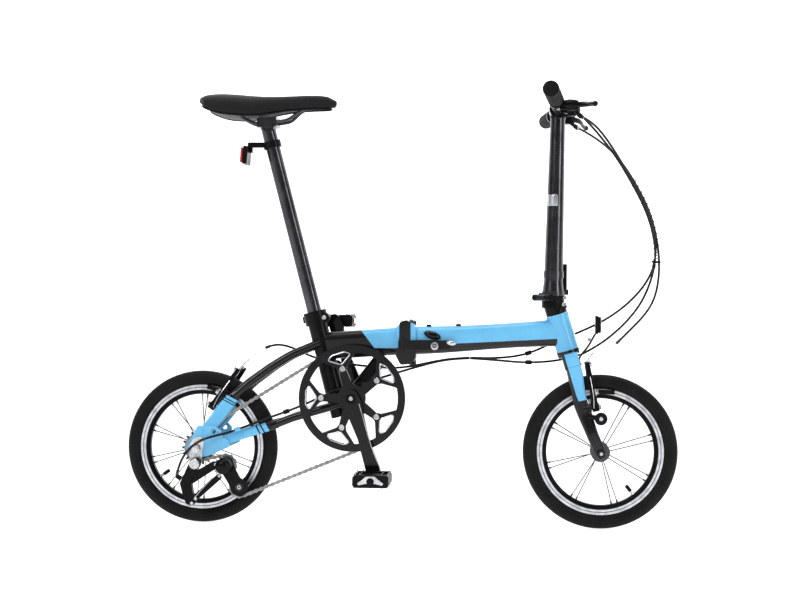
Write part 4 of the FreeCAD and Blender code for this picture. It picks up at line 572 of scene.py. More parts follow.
POST_BEND = ("post", "fork", at(0.8, 0, 0.8), at(0.9, 0, 0.6))
STEER_BEND = ("fork", "front_frame", at(0.96, 0, 0.545), at(0.83, 0.03, 0.42))
HINGE_BEND = ("front_frame", "rear_frame", at(0.56, 0, 0.357), at(0.36, 0, 0.34))


def make_cords():
    """Every housing of the CAD, as a cord along the same route."""
    hanging = {"stiffness": "stiff", "lay": "hanging"}
    held = {"stiffness": "stiff", "lay": "taut", "far_end": "object"}
    lay_cord("front_brake_housing", spline(FRONT_BRAKE_ROUTE), 0.6, GREY_HOUSING, "front_brake_cable",
             between=POST_BEND, far_end="object", **hanging)
    for name, route, replaced, upper, lower in (
            ("rear_brake_housing", REAR_BRAKE_ROUTE, "rear_brake_cable", 0.37, 0.24),
            ("gear_housing", SHIFT_ROUTE, "shift_cable", 0.36, 0.26)):
        over, under = parted(route)
        way = over[-3] - over[-1]
        joiner = lathe(name + "_joiner", [(-0.005, 0.0026), (-0.0046, 0.0033), (0.0046, 0.0033),
                                          (0.005, 0.0026)], over[-1], way, PLASTIC, "fork")
        lay_cord(name + "_upper", over, upper, HOUSING, replaced, between=POST_BEND, far_end="fitting",
                 with_pieces=[joiner], **hanging)
        lay_cord(name + "_lower", under, lower, HOUSING, replaced, between=STEER_BEND, far_end="object",
                 **hanging)
    for name, route, length in (("rear_brake_housing_beam", BEAM_REAR_BRAKE_ROUTE, 0.234),
                                ("gear_housing_beam", BEAM_SHIFT_ROUTE, 0.251)):
        lay_cord(name, spline(route), length, HOUSING, "beam_cables", body="front_frame", **held)
    for name, route, length in (("rear_brake_housing_tail", REAR_BRAKE_TAIL, 0.457),
                                ("gear_housing_tail", SHIFT_TAIL, 0.692)):
        lay_cord(name, spline(route), length, HOUSING, "rear_cables", between=HINGE_BEND, **held)


def make_spiral_wrap():
    """The plastic spiral round the three housings, and the tie that ends it."""
    lines = [spline(route) for route in (FRONT_BRAKE_ROUTE, REAR_BRAKE_ROUTE, SHIFT_ROUTE)]
    top, bottom, steps, steps_a_turn = 0.735, BUNDLE_TIE + 0.005, 240, 17
    levels = [top + (bottom - top) * k / steps for k in range(steps + 1)]

    def crossing(line, level):
        one, two = next((a, b) for a, b in zip(line, line[1:]) if a.z >= level >= b.z)
        return one.lerp(two, (one.z - level) / (one.z - two.z + 1e-9))

    centres, bundles = [], []
    for level in levels:
        spots = [crossing(line, level) for line in lines]
        centre = sum(spots, Vector()) / 3
        centres.append(centre)
        bundles.append([s - centre for s in spots])
    path = []
    for i, centre in enumerate(centres):
        way = (centres[min(i + 1, steps)] - centres[max(i - 1, 0)]).normalized()
        one = (LEFT - way * way.dot(LEFT)).normalized()
        other = way.cross(one)
        angle = 2 * math.pi * i / steps_a_turn
        out = one * math.cos(angle) + other * math.sin(angle)
        path.append(centre + out * (max(s.dot(out) for s in bundles[i]) + HOUSING_RADIUS + 0.0004))
    wrap = add("spiral_wrap", *tube(path, 0.0007, 8), HOUSING, crease=60)
    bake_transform(wrap)
    way = centres[-1] - centres[-4]
    reach = max(s.length for s in bundles[-1]) + HOUSING_RADIUS
    band = turned([(-0.0015, reach), (-0.0018, reach + 0.0008), (0.0018, reach + 0.0008), (0.0015, reach)],
                  centres[-1], way, 28)
    add("bundle_tie", *band, PLASTIC, "fork")


def clip(name, line, place, body, finish):
    """A cable guide round the housing: a short sleeve where the line passes station place."""
    spot = min(range(1, len(line) - 1), key=lambda i: abs(line[i].x - at(place, 0, 0).x))
    way = line[spot + 1] - line[spot - 1]
    sleeve = turned([(-0.006, 0.0026), (-0.0064, 0.0042), (-0.0056, 0.0048), (0.0056, 0.0048),
                     (0.0064, 0.0042), (0.006, 0.0026)], line[spot], way, 20)
    add(name, *sleeve, finish, body)


def ferrule(name, tip, way, body, finish):
    """The end cap of a housing, with its mouth at tip."""
    lathe(name, [(0, 0.0016), (0.0, 0.003), (0.0008, 0.0034), (0.01, 0.0034), (0.0112, 0.003),
                 (0.0112, 0.0026)], tip, way, finish, body)


def make_cable_fittings():
    rear_line, gear_line = spline(REAR_BRAKE_TAIL), spline(SHIFT_TAIL)
    blue_clip = paint("clip_blue", BLUE)
    clip("gear_clip_front", gear_line, 0.186, "rear_frame", PLASTIC)
    clip("gear_clip_rear", gear_line, 0.0865, "rear_frame", blue_clip)
    clip("gear_clip_bracket", gear_line, 0.285, "rear_frame", PLASTIC)
    clip("brake_clip_seat", rear_line, 0.285, "rear_frame", PLASTIC)
    for name, route in (("brake", BEAM_REAR_BRAKE_ROUTE), ("gear", BEAM_SHIFT_ROUTE)):
        clip(f"{name}_clip_beam", spline(route), 0.7, "front_frame", PLASTIC)
    front_line = spline(FRONT_BRAKE_ROUTE)
    for name, line, body in (("front_brake", front_line, "fork"), ("rear_brake", rear_line, "rear_frame"),
                             ("gear", gear_line, "derailleur")):
        ferrule(name + "_ferrule", line[-1], line[-3] - line[-1], body, DARK_STEEL)
    for name, line in (("front_brake", front_line), ("rear_brake", spline(REAR_BRAKE_ROUTE)),
                       ("gear", spline(SHIFT_ROUTE))):
        ferrule(name + "_lever_ferrule", line[0], line[2] - line[0], "post", ALUMINIUM)


# ---------------------------------------------------------------- wheels
TYRE_MIDDLE, TYRE_SECTION = 0.1458, 0.0172
BEAD_RADIUS, BEAD_HALF_WIDTH = 0.1325, 0.0098


def tyre_relief(t, turn):
    """How far the tyre stands out, by the angle t from the tread's middle and the turn (0 to 1)."""
    size = abs(math.degrees(t))
    grooves = sum(math.exp(-((size - g) / 1.9) ** 2) for g in (9, 30, 52))
    slant = (turn * 150 + size / 26) % 1
    sipe = math.exp(-((slant - 0.5) / 0.11) ** 2) if 11 < size < 50 else 0
    rib = 0.5 * math.exp(-((size - 97) / 1.6) ** 2) + 0.4 * math.exp(-((size - 112) / 1.4) ** 2)
    return 0.0006 * rib - 0.0008 * grooves - 0.0006 * sipe


def make_tyre(name, axle, body, replaced):
    around, steps = 900, 60
    rows = []
    for k in range(around):
        turn = 2 * math.pi * k / around
        out = Vector((math.cos(turn), 0, math.sin(turn)))
        row = []
        for j in range(steps + 1):
            t = math.radians(-133 + 266 * j / steps)
            reach = TYRE_SECTION + tyre_relief(t, k / around)
            row.append(axle + out * (TYRE_MIDDLE + reach * math.cos(t)) + LEFT * reach * math.sin(t))
        row += [axle + out * BEAD_RADIUS + LEFT * y for y in (BEAD_HALF_WIDTH, -BEAD_HALF_WIDTH)]
        rows.append(row)
    made = add(name, *skin(rows, closed=True), RUBBER, body, crease=55)
    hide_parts(replaced)


def make_valve(name, axle, angle, body):
    """Stem, lock nut and rubber cap, standing in from the rim."""
    out = Vector((math.cos(math.radians(angle)), 0, math.sin(math.radians(angle))))
    foot = axle + out * 0.114
    stem = turned([(0, 0.0031), (0.012, 0.0031), (0.0125, 0.0027)], foot, -out, 20)
    nut = turned([(-0.0005, 0.0058), (0.0022, 0.0058), (0.0027, 0.0052)], foot, -out, 24, corners=6)
    add(name + "_stem", *merged(stem, nut), STEEL, body)
    knurled = [(0.009, 0.0036)] + ribs(0.0095, 0.0011, 0.0041, 0.0038, 12)
    lathe(name + "_cap", knurled + [(0.0235, 0.0034), (0.0245, 0.002)], foot, -out, PLASTIC, body)


def make_nipples(name, axle, pairs, first, body):
    """One brass nipple where each spoke enters the rim."""
    parts = []
    for k in range(pairs):
        for side in (1, -1):
            angle = math.radians(first + 360 * k / pairs + side * 3.3)
            out = Vector((math.cos(angle), 0, math.sin(angle)))
            parts.append(turned([(0, 0.0021), (0.0065, 0.0019), (0.007, 0.0012)],
                                axle + out * 0.1135 + LEFT * side * 0.0021, -out, 12, corners=4))
    add(name, *merged(*parts), STEEL, body)


# ---------------------------------------------------------------- chain and crankset
CHAIN_LINE, CHAIN_PITCH, LINKS = -0.046, 0.0127, 98


def pitch_radius(teeth):
    return CHAIN_PITCH / 2 / math.sin(math.pi / teeth)


CRANK_AXLE = middle("bottom_bracket")
GUIDE, TENSION = middle("guide_pulley"), middle("tension_pulley")
WRAPS = [(CRANK_AXLE, pitch_radius(53), 1), (REAR_AXLE, pitch_radius(13), 1),
         (GUIDE, pitch_radius(10), -1), (TENSION, pitch_radius(10), 1)]


def chain_path():
    """The chain's pitch line as points (x, z), close together, round the four wheels it passes."""
    headings = []
    for (one, r1, s1), (two, r2, s2) in zip(WRAPS, WRAPS[1:] + WRAPS[:1]):
        gap = Vector((two.x - one.x, two.z - one.z))
        headings.append(math.atan2(gap.y, gap.x) - math.asin((s2 * r2 - s1 * r1) / gap.length))
    points = []
    for i, (centre, radius, sense) in enumerate(WRAPS):
        came, goes = headings[i - 1], headings[i]
        turn = (goes - came) * sense % (2 * math.pi)
        steps = max(2, round(turn * radius / 0.0005))
        for k in range(steps + 1):
            heading = came + sense * turn * k / steps
            points.append(Vector((centre.x + sense * radius * math.sin(heading),
                                  centre.z - sense * radius * math.cos(heading))))
    return points


def evenly(points, count):
    """count points at even distances round the closed path."""
    ring_points = points + points[:1]
    gaps = [(b - a).length for a, b in zip(ring_points, ring_points[1:])]
    step = sum(gaps) / count
    made, walked, wanted = [], 0.0, 0.0
    for (a, b), gap in zip(zip(ring_points, ring_points[1:]), gaps):
        while gap > 0 and wanted <= walked + gap and len(made) < count:
            made.append(a.lerp(b, (wanted - walked) / gap))
            wanted += step
        walked += gap
    return made


def link_plate(one, two, y, thickness, half):
    """A waisted side plate from pin to pin; y is its inner face, and thickness may be negative."""
    way = (two - one).normalized()
    up = Vector((-way.y, way.x))
    outline = []
    for centre, facing in ((one, -1), (two, 1)):
        for k in range(9):
            angle = math.radians(-115 + 230 * k / 8)
            outline.append(centre + way * facing * half * math.cos(angle)
                           + up * facing * half * math.sin(angle))
        outline.append((one + two) / 2 + up * facing * half * 0.62)
    rows = [[Vector((p.x, y + thickness * share, p.y)) for p in outline] for share in (0, 1)]
    return skin(rows)


def make_chain():
    """Inner and outer plates in turn, with their pins and rollers, round the chain's whole path."""
    pins = evenly(chain_path(), LINKS)
    parts = []
    for k, (one, two) in enumerate(zip(pins, pins[1:] + pins[:1])):
        inner = k % 2 == 0
        for side in (1, -1):
            start = CHAIN_LINE + side * (0.0017 if inner else 0.0027)
            parts.append(link_plate(one, two, start, side * 0.0009, 0.0041 if inner else 0.0039))
        middle_pin = Vector((one.x, CHAIN_LINE - 0.0041, one.y))
        parts.append(turned([(0, 0.0012), (0.0003, 0.0017), (0.0079, 0.0017), (0.0082, 0.0012)], middle_pin,
                            LEFT, 10))
        parts.append(turned([(0.0025, 0.0036), (0.0057, 0.0036)], middle_pin, LEFT, 12))
    made = add("chain_links", *merged(*parts), CHAIN, "rear_frame", crease=40)
    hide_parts("chain")


CRANK_ANGLE = -72.3
GUARD_FACE = -0.0529                        # outer face of the guard ring
SPIDER_FACE = -0.0585                       # outer face of the spider's arms
CRANK_FACE = -0.074                         # outer face of the right crank


def on_ring(radius, angle, y):
    """A point at an angle from the right crank's direction, at a distance from its axle."""
    turn = math.radians(CRANK_ANGLE + angle)
    return Vector((CRANK_AXLE.x + radius * math.cos(turn), y, CRANK_AXLE.z + radius * math.sin(turn)))


def rounded_loop(corners, step=6):
    """A smooth closed loop through (x, y, corner radius) corners, by arcs."""
    made = []
    for i, (*_, radius) in enumerate(corners):
        here, back = Vector(corners[i][:2]), Vector(corners[i - 1][:2])
        ahead = Vector(corners[(i + 1) % len(corners)][:2])
        one, two = (back - here).normalized(), (ahead - here).normalized()
        half = one.angle(two) / 2
        trim = min(radius / math.tan(half), 0.48 * (back - here).length, 0.48 * (ahead - here).length)
        for k in range(step + 1):
            share = k / step
            start, stop = here + one * trim, here + two * trim
            made.append(start.lerp(here, share).lerp(here.lerp(stop, share), share))
    return made


def rounded_box(half_width, half_height, radius):
    return [tuple(p) for p in rounded_loop([(u * half_width, v * half_height, radius)
                                            for u, v in ((-1, -1), (1, -1), (1, 1), (-1, 1))])]


def make_crankset_trim():
    """Ring bolts, the bright edges of the guard's windows, the crank's cap and bolt, and a painted highlight
    along the crank's front edge.
    """
    for k in range(5):
        centre = on_ring(0.065, 36 + 72 * k, SPIDER_FACE)
        bolt(f"ring_bolt_{k}", centre, RIGHT, 0.0062, 0.0018, "crankset")
        middle_angle = math.radians(CRANK_ANGLE + 36 + 72 * k)
        corners = [(r * math.cos(middle_angle + math.radians(a)),
                    r * math.sin(middle_angle + math.radians(a)), c)
                   for r, a, c in ((0.0945, -16, 0.005), (0.0992, -8, 0.01), (0.0992, 8, 0.01),
                                   (0.0945, 16, 0.005), (0.0738, 0, 0.006))]
        loop = [Vector((CRANK_AXLE.x + p.x, GUARD_FACE, CRANK_AXLE.z + p.y)) for p in rounded_loop(corners)]
        add(f"window_chamfer_{k}", *tube(loop, 0.0015, closed=True), ALUMINIUM, "crankset")
    centre = Vector((CRANK_AXLE.x, CRANK_FACE, CRANK_AXLE.z))
    lathe("crank_cap", [(-0.001, 0.0115), (0.0012, 0.0115), (0.002, 0.0105), (0.0021, 0.0072),
                        (0.0013, 0.0066), (0.0013, 0.0045)], centre, RIGHT, PLASTIC, "crankset", 40)
    # A bright strip along the crank's front edge: a painted highlight, standing in for the reflection there.
    edge = [on_ring(r, a, CRANK_FACE + 0.0006)
            for r, a in ((0.02, 42), (0.045, 17), (0.085, 7.6), (0.125, 5.6), (0.152, 5.6))]
    add("crank_edge_painted_highlight", *tube(spline(edge, 12), 0.0009, 8), ALUMINIUM, "crankset")
    bolt("crank_bolt", centre + RIGHT * 0.0009, RIGHT, 0.0045, 0.0016, "crankset")


# ---------------------------------------------------------------- saddle
# station, half width, top, height of the rim
SADDLE_STATIONS = [
    (-0.003, 0.044, 0.913, 0.899), (0.01, 0.06, 0.917, 0.89), (0.04, 0.066, 0.919, 0.88),
    (0.08, 0.062, 0.9185, 0.876), (0.115, 0.046, 0.9165, 0.877), (0.15, 0.032, 0.916, 0.883),
    (0.19, 0.024, 0.917, 0.889), (0.23, 0.02, 0.9185, 0.892), (0.265, 0.017, 0.916, 0.893),
    (0.282, 0.009, 0.908, 0.895),
]


def between_stations(x):
    """Half width, top and rim height of the saddle at station x, smooth through the stations."""
    last = len(SADDLE_STATIONS) - 1
    i = max(k for k in range(last) if x >= SADDLE_STATIONS[k][0] - 1e-9)
    near = [SADDLE_STATIONS[min(max(i + k, 0), last)] for k in (-1, 0, 1, 2)]
    t = (x - near[1][0]) / (near[2][0] - near[1][0])
    made = []
    for j in (1, 2, 3):
        slope = [(near[k + 1][j] - near[k - 1][j]) / max(near[k + 1][0] - near[k - 1][0], 1e-6)
                 * (near[2][0] - near[1][0]) for k in (1, 2)]
        p, q = near[1][j], near[2][j]
        made.append((2 * t ** 3 - 3 * t ** 2 + 1) * p + (t ** 3 - 2 * t ** 2 + t) * slope[0]
                    + (3 * t ** 2 - 2 * t ** 3) * q + (t ** 3 - t ** 2) * slope[1])
    return made


def saddle_row(x):
    """Across the saddle at station x: crowned padding, soft shoulders, and an edge that turns under."""
    half, top, rim_z = between_stations(x)
    rise = top - rim_z
    row = []
    for k in range(65):
        a = math.radians(-104 + 208 * k / 64)
        wide = abs(math.sin(a)) ** 0.72 * math.copysign(1, a)
        high = max(0.0, math.cos(a)) ** 0.62 if math.cos(a) > 0 else -0.12 * abs(math.cos(a)) * 4
        tuck = 1.0 if abs(a) < math.pi / 2 else 1 - 0.55 * (abs(a) - math.pi / 2)
        y = half * wide * tuck
        z = rim_z + rise * high
        rear = max(0.0, 1 - x / 0.12)
        channel = 0.0035 * math.exp(-(y / 0.01) ** 2) * math.exp(-((x - 0.075) / 0.06) ** 2)
        seam = 0.0009 * math.exp(-((abs(y) / max(half, 0.01) - 0.66) / 0.03) ** 2) if abs(a) < 1.5 else 0
        pads = 0.0022 * math.exp(-((abs(y) - 0.036) / 0.018) ** 2) * math.exp(-((x - 0.045) / 0.035) ** 2)
        row.append(at(x, y, z - channel - seam + pads * rear))
    return row


def make_saddle():
    """The padded cover, drawn over the shell's edge, and the shell that closes it below."""
    rear, length, count = -0.003, 0.285, 110
    rows = [saddle_row(rear + length * k / count) for k in range(count + 1)]
    heel_middle, tip = at(rear, 0, 0.905), sum(rows[-1], Vector()) / len(rows[-1])
    heel = [[(p - heel_middle) * s + at(rear - d, 0, 0.905) for p in rows[0]]
            for s, d in ((0.35, 0.0042), (0.78, 0.0025))]
    nose = [[(p - tip) * s + tip + Vector((d, 0, 0)) for p in rows[-1]]
            for s, d in ((0.82, 0.0022), (0.4, 0.0035))]
    made = add("saddle_cover", *skin(heel + rows + nose), COVER, "seat", crease=80)
    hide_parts("saddle")
    shell_rows = []
    for k in range(60):
        x = 0.002 + 0.272 * k / 59
        half, _, rim_z = between_stations(x)
        shares = [-1 + 2 * j / 24 for j in range(25)]
        shell_rows.append([at(x, share * half * 0.93, rim_z - drop + 0.01 * (1 - share ** 2))
                           for drop, line in ((0.004, shares), (0.0062, shares[::-1])) for share in line])
    add("saddle_shell", *skin(shell_rows), PLASTIC, "seat", crease=60)


# ---------------------------------------------------------------- bar and levers
def bar_end(side):
    return at(0.737, side * 0.27, 0.894)


def bar_way(side):
    return (bar_end(side) - at(0.7582, side * 0.06, 0.886)).normalized()


def make_grip(side):
    """A rubber sleeve: a flange inboard, a waffle of small ribs, a smooth swell and a closed end."""
    way, tip = bar_way(side), bar_end(side)
    start = tip - way * 0.126
    rows, count = [], 64
    profile = [(0.0, 0.0136), (0.0005, 0.016), (0.003, 0.0164), (0.0055, 0.016), (0.0062, 0.015)]
    profile += [(0.0075 + 0.0018 * k, 0.015 + 0.0009 * math.sin(math.pi * k / 58)) for k in range(60)]
    profile += [(0.1155, 0.0154), (0.117, 0.0163), (0.1235, 0.0163), (0.1256, 0.015), (0.126, 0.01)]
    for i, (along, radius) in enumerate(profile):
        ribbed = 0.009 < along < 0.112
        points = ring(start + way * along, way, radius, count)
        centre = start + way * along
        if ribbed:
            points = [centre + (p - centre) * (1.028 if (i + k // 2) % 2 else 1.0)
                      for k, p in enumerate(points)]
        rows.append(points)
    name = "grip_left" if side > 0 else "grip_right"
    made = add(name, *skin(rows), GRIP_RUBBER, "post", crease=50)
    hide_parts("grips")


def lever_blade(side):
    """A cast brake lever's blade: a flat, deep bar that bends round to run along in front of the grip."""
    path = spline([at(x, side * y, z) for x, y, z in (
        (0.783, 0.118, 0.881), (0.803, 0.132, 0.881), (0.814, 0.158, 0.878), (0.817, 0.19, 0.874),
        (0.826, 0.21, 0.872))], 10)
    rows = []
    for i, point in enumerate(path):
        way = (path[min(i + 1, len(path) - 1)] - path[max(i - 1, 0)]).normalized()
        out = way.cross(Vector((0, 0, 1))).normalized()
        share = i / (len(path) - 1)
        deep, thick = 0.0062 - 0.0014 * share, 0.004 - 0.0008 * share
        rows.append([point + out * thick * math.cos(a) + Vector((0, 0, 1)) * deep * math.sin(a)
                     for a in (2 * math.pi * k / 24 for k in range(24))])
    return skin(rows)


def make_bar_trim():
    """Grips, brake levers with their bolts and adjusters, the stem's bolts and the shifter's cap."""
    for side, word in ((1, "left"), (-1, "right")):
        make_grip(side)
        clamp = at(0.755628, side * 0.125, 0.873)
        bolt(f"lever_clamp_bolt_{word}", clamp, (0.1, 0, -1), 0.0036, 0.003, "post")
        barrel = at(0.788, side * 0.102, 0.871)
        way = Vector((0.8, 0, -0.6))
        knurl = [(0.01, 0.0042)] + ribs(0.011, 0.0012, 0.0054, 0.0049, 8)
        lathe(f"lever_adjuster_{word}", knurl + [(0.021, 0.0036), (0.024, 0.003)], barrel, way, PLASTIC,
              "post", 28)
        bolt(f"lever_pivot_bolt_{word}", at(0.786, side * 0.118, 0.89), (0, 0, 1), 0.0042, 0.0016, "post")
        lathe(f"lever_hood_{word}", [(0, 0.0055), (0.003, 0.0098), (0.012, 0.0122), (0.024, 0.0118),
                                     (0.031, 0.0098), (0.034, 0.0062)],
              at(0.7645, side * 0.118, 0.8815), (1, 0, -0.03), SATIN, "post", 36)
        blade = add(f"blade_{word}", *lever_blade(side), SATIN, f"brake_lever_{word}")
        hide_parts(f"brake_blade_{word}")
        tip = at(0.826, side * 0.21, 0.872)
        ball = [(0.0058 * -math.cos(math.pi * k / 16), max(0.0002, 0.0058 * math.sin(math.pi * k / 16)))
                for k in range(17)]
        lathe(f"blade_ball_{word}", ball, tip, (0.1, side, 0), SATIN, f"brake_lever_{word}")
    for word, y in (("right", -0.013), ("left", 0.013)):
        bolt(f"stem_bolt_{word}", at(0.7802, y, 0.893), (0, 0, 1), 0.0042, 0.003, "post")
    pod = at(0.784, -0.09, 0.8812)
    lathe("shifter_cap", [(0, 0.0165), (0.0012, 0.0162), (0.0026, 0.0138), (0.003, 0.009),
                          (0.0026, 0.0085), (0.0026, 0.003)], pod, (0, 0, 1), GLOSS, "post", 40)
    window = at(0.8012, -0.09, 0.8745)
    lathe("shifter_window", [(0, 0.0052), (0.0008, 0.005), (0.0012, 0.004)], window, (1, 0, 0.15),
          WHITE_LENS, "post", 28)


# ---------------------------------------------------------------- handlepost, head and hinge
POST_FOOT, POST_LENGTH = 0.492, 0.376


def make_post_trim():
    """The blank silver label on the tapered post, and the bolts of its foot and of the fork."""
    points, high, wide = [], 9, 13
    for k in range(high):
        height = 0.682 + 0.024 * k / (high - 1)
        up = height - POST_FOOT
        centre, reach = at(0.7499 + 0.0205 * up, 0, height), 0.0205 - 0.0051 * up / POST_LENGTH + 0.0005
        points += [centre + Vector((math.cos(a), math.sin(a), 0)) * reach
                   for a in (math.radians(-160 + 84 * j / (wide - 1)) for j in range(wide))]
    faces = [(i * wide + j, i * wide + j + 1, (i + 1) * wide + j + 1, (i + 1) * wide + j)
             for i in range(high - 1) for j in range(wide - 1)]
    label = add("post_label", points, faces, LABEL, "post")
    label.modifiers.new("thickness", "SOLIDIFY").thickness = 0.0003
    bolt("post_bolt", at(0.7725, -0.0125, 0.4885), (0.75, -0.66, 0), 0.0048, 0.003, "fork")
    bolt("base_clamp_bolt", at(0.772, -0.0215, 0.474), (0.25, -0.97, 0), 0.0042, 0.0026, "fork")
    bolt("crown_bolt", at(0.783, -0.0345, 0.352), (0.1, -1, 0), 0.0046, 0.0025, "fork")


def make_hinge_trim():
    """The beam latch's catch, tip and washer, and the studs on the beam."""
    latch_face = Vector(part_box("frame_latch_lever")[0]).y
    washer = [(0, 0.0042), (0, 0.0078), (0.0008, 0.0082), (0.0016, 0.0078), (0.0018, 0.0048),
              (0.0012, 0.0042)]
    spot = at(0.501, latch_face, 0.384)
    lathe("latch_washer", washer, spot + LEFT * 0.0002, RIGHT, ALUMINIUM, "frame_latch", 40)
    bolt("latch_washer_bolt", spot + RIGHT * 0.0004, RIGHT, 0.0041, 0.0016, "frame_latch", DARK_STEEL)
    tip = at(0.536, -0.0345, 0.3905)
    bullet = [(-0.011 + 0.022 * k / 14, max(0.0004, 0.0052 * math.sin(math.pi * k / 14) ** 0.6))
              for k in range(15)]
    lathe("latch_button", bullet, tip, (1, 0, -0.12), ALUMINIUM, "frame_latch", 28)
    catch, lean = at(0.4955, -0.0205, 0.4065), 0.3
    long_way = Vector((math.cos(lean), 0, -math.sin(lean))) * 0.0185
    short_way = Vector((math.sin(lean), 0, math.cos(lean))) * 0.0085
    rows = []
    for k in range(9):
        centre = catch + RIGHT * 0.008 * math.sin(math.radians(90 * k / 8))
        shrink = math.cos(math.radians(78 * k / 8))
        rows.append([centre + (long_way * math.cos(a) + short_way * math.sin(a)) * shrink
                     for a in (2 * math.pi * j / 40 for j in range(40))])
    add("latch_catch", *skin(rows), GLOSS, "front_frame", crease=60)
    for x, z in ((0.487, 0.4266), (0.55, 0.4283)):
        lathe(f"beam_stud_{round(x * 1000)}", [(-0.001, 0.0055), (0.0016, 0.0055), (0.0026, 0.0045),
                                               (0.0028, 0.002)], at(x, -0.004, z), (0, 0, 1), SATIN,
              "front_frame", 28)
    pin_top = at(0.449, 0.034, 0.438)
    bolt("hinge_pin_cap", pin_top, (0, 0, 1), 0.0062, 0.002, "rear_frame")
    collar = at(0.2635, -0.0215, 0.4425)
    lathe("collar_washer", [(0, 0.0045), (0.001, 0.0048), (0.0018, 0.0042), (0.0018, 0.0016)], collar,
          RIGHT, ALUMINIUM, "rear_frame", 32)


# ---------------------------------------------------------------- brakes
def make_brake(name, holder, axis, up, base, housing_end):
    """Bolts, springs, pad nuts, the bent pipe that leads the wire in, the wire and its rubber boot."""
    tips = []
    for side, word in ((-1, "right"), (1, "left")):
        body = name.replace("brake", "arm_") + word
        foot = at(base[0], side * base[1], base[2])
        centre = foot + axis * 0.025
        bolt(f"{name}_pivot_bolt_{word}", foot + axis * 0.0325, axis, 0.0052, 0.004, body)
        tip = centre + up * 0.092 - LEFT * side * 0.006
        tips.append(tip)
        pad = centre + up * 0.032 + axis * 0.0045
        washer = turned([(0, 0.0075), (0.001, 0.0078), (0.0022, 0.0074)], pad, axis, 28)
        nut = turned([(0.002, 0.0058), (0.0065, 0.0058), (0.007, 0.005)], pad, axis, corners=6)
        add(f"{name}_pad_nut_{word}", *merged(washer, nut), ALUMINIUM, body)
        spring = spline([centre - axis * 0.004 + LEFT * side * 0.009]
                        + [centre + up * high + LEFT * side * wide
                           for high, wide in ((0.02, 0.0105), (0.045, 0.0095), (0.066, 0.004))], 10)
        add(f"{name}_spring_{word}", *tube(spring, 0.0009, 8), STEEL, body)
        bolt(f"{name}_tip_bolt_{word}", tip + axis * 0.005, axis, 0.0046, 0.0035, body)
    right, left = tips
    entry = right + up * 0.004 - axis * 0.002
    lead = spline([housing_end, housing_end.lerp(entry, 0.35) + up * 0.01,
                   housing_end.lerp(entry, 0.8) + up * 0.012 - LEFT * 0.01,
                   entry - LEFT * 0.006, entry + LEFT * 0.006], 10)
    add(f"{name}_lead_pipe", *tube(lead, lambda s: 0.0009 if s < 0.45 else 0.0021, 12), ALUMINIUM, holder,
        crease=60)
    wire = spline([entry, entry.lerp(left, 0.5) + up * 0.002, left + up * 0.004])
    add(f"{name}_wire", *tube(wire, 0.0008), STEEL, holder)
    folds = ribs(0.008, 0.0021, 0.0036, 0.0026, 15)
    lathe(f"{name}_boot", [(0.006, 0.0018)] + folds + [(0.04, 0.0016)], entry, left - entry, GRIP_RUBBER,
          holder)


def make_brakes():
    """Both rim brakes, and the round magnet on the fork."""
    make_brake("front_brake", "fork", Vector((0.983, 0, 0.182)), Vector((-0.182, 0, 0.983)),
               (0.815, 0.037, 0.2532), at(0.883, -0.014, 0.392))
    make_brake("rear_brake", "rear_frame", Vector((-0.821, 0, 0.57)), Vector((0.57, 0, 0.821)),
               (0.0495, 0.045, 0.2387), at(0.133, 0.01, 0.376))
    cup = at(0.85, -0.0495, 0.236)              # the magnet that holds the folded bicycle shut
    lathe("fold_magnet_cup", [(0, 0.0095), (0.001, 0.0125), (0.009, 0.0134), (0.0112, 0.0126),
                              (0.0122, 0.0104), (0.0116, 0.0045)], cup, RIGHT, PLASTIC, "fork", 40)
    bolt("fold_magnet_bolt", cup + RIGHT * 0.0114, RIGHT, 0.0042, 0.0018, "fork")
    tab = [at(0.824, -0.051, 0.241), at(0.833, -0.052, 0.239), at(0.842, -0.053, 0.2375)]
    add("fold_magnet_tab", *tube(tab, 0.0052, 16), SATIN, "fork")


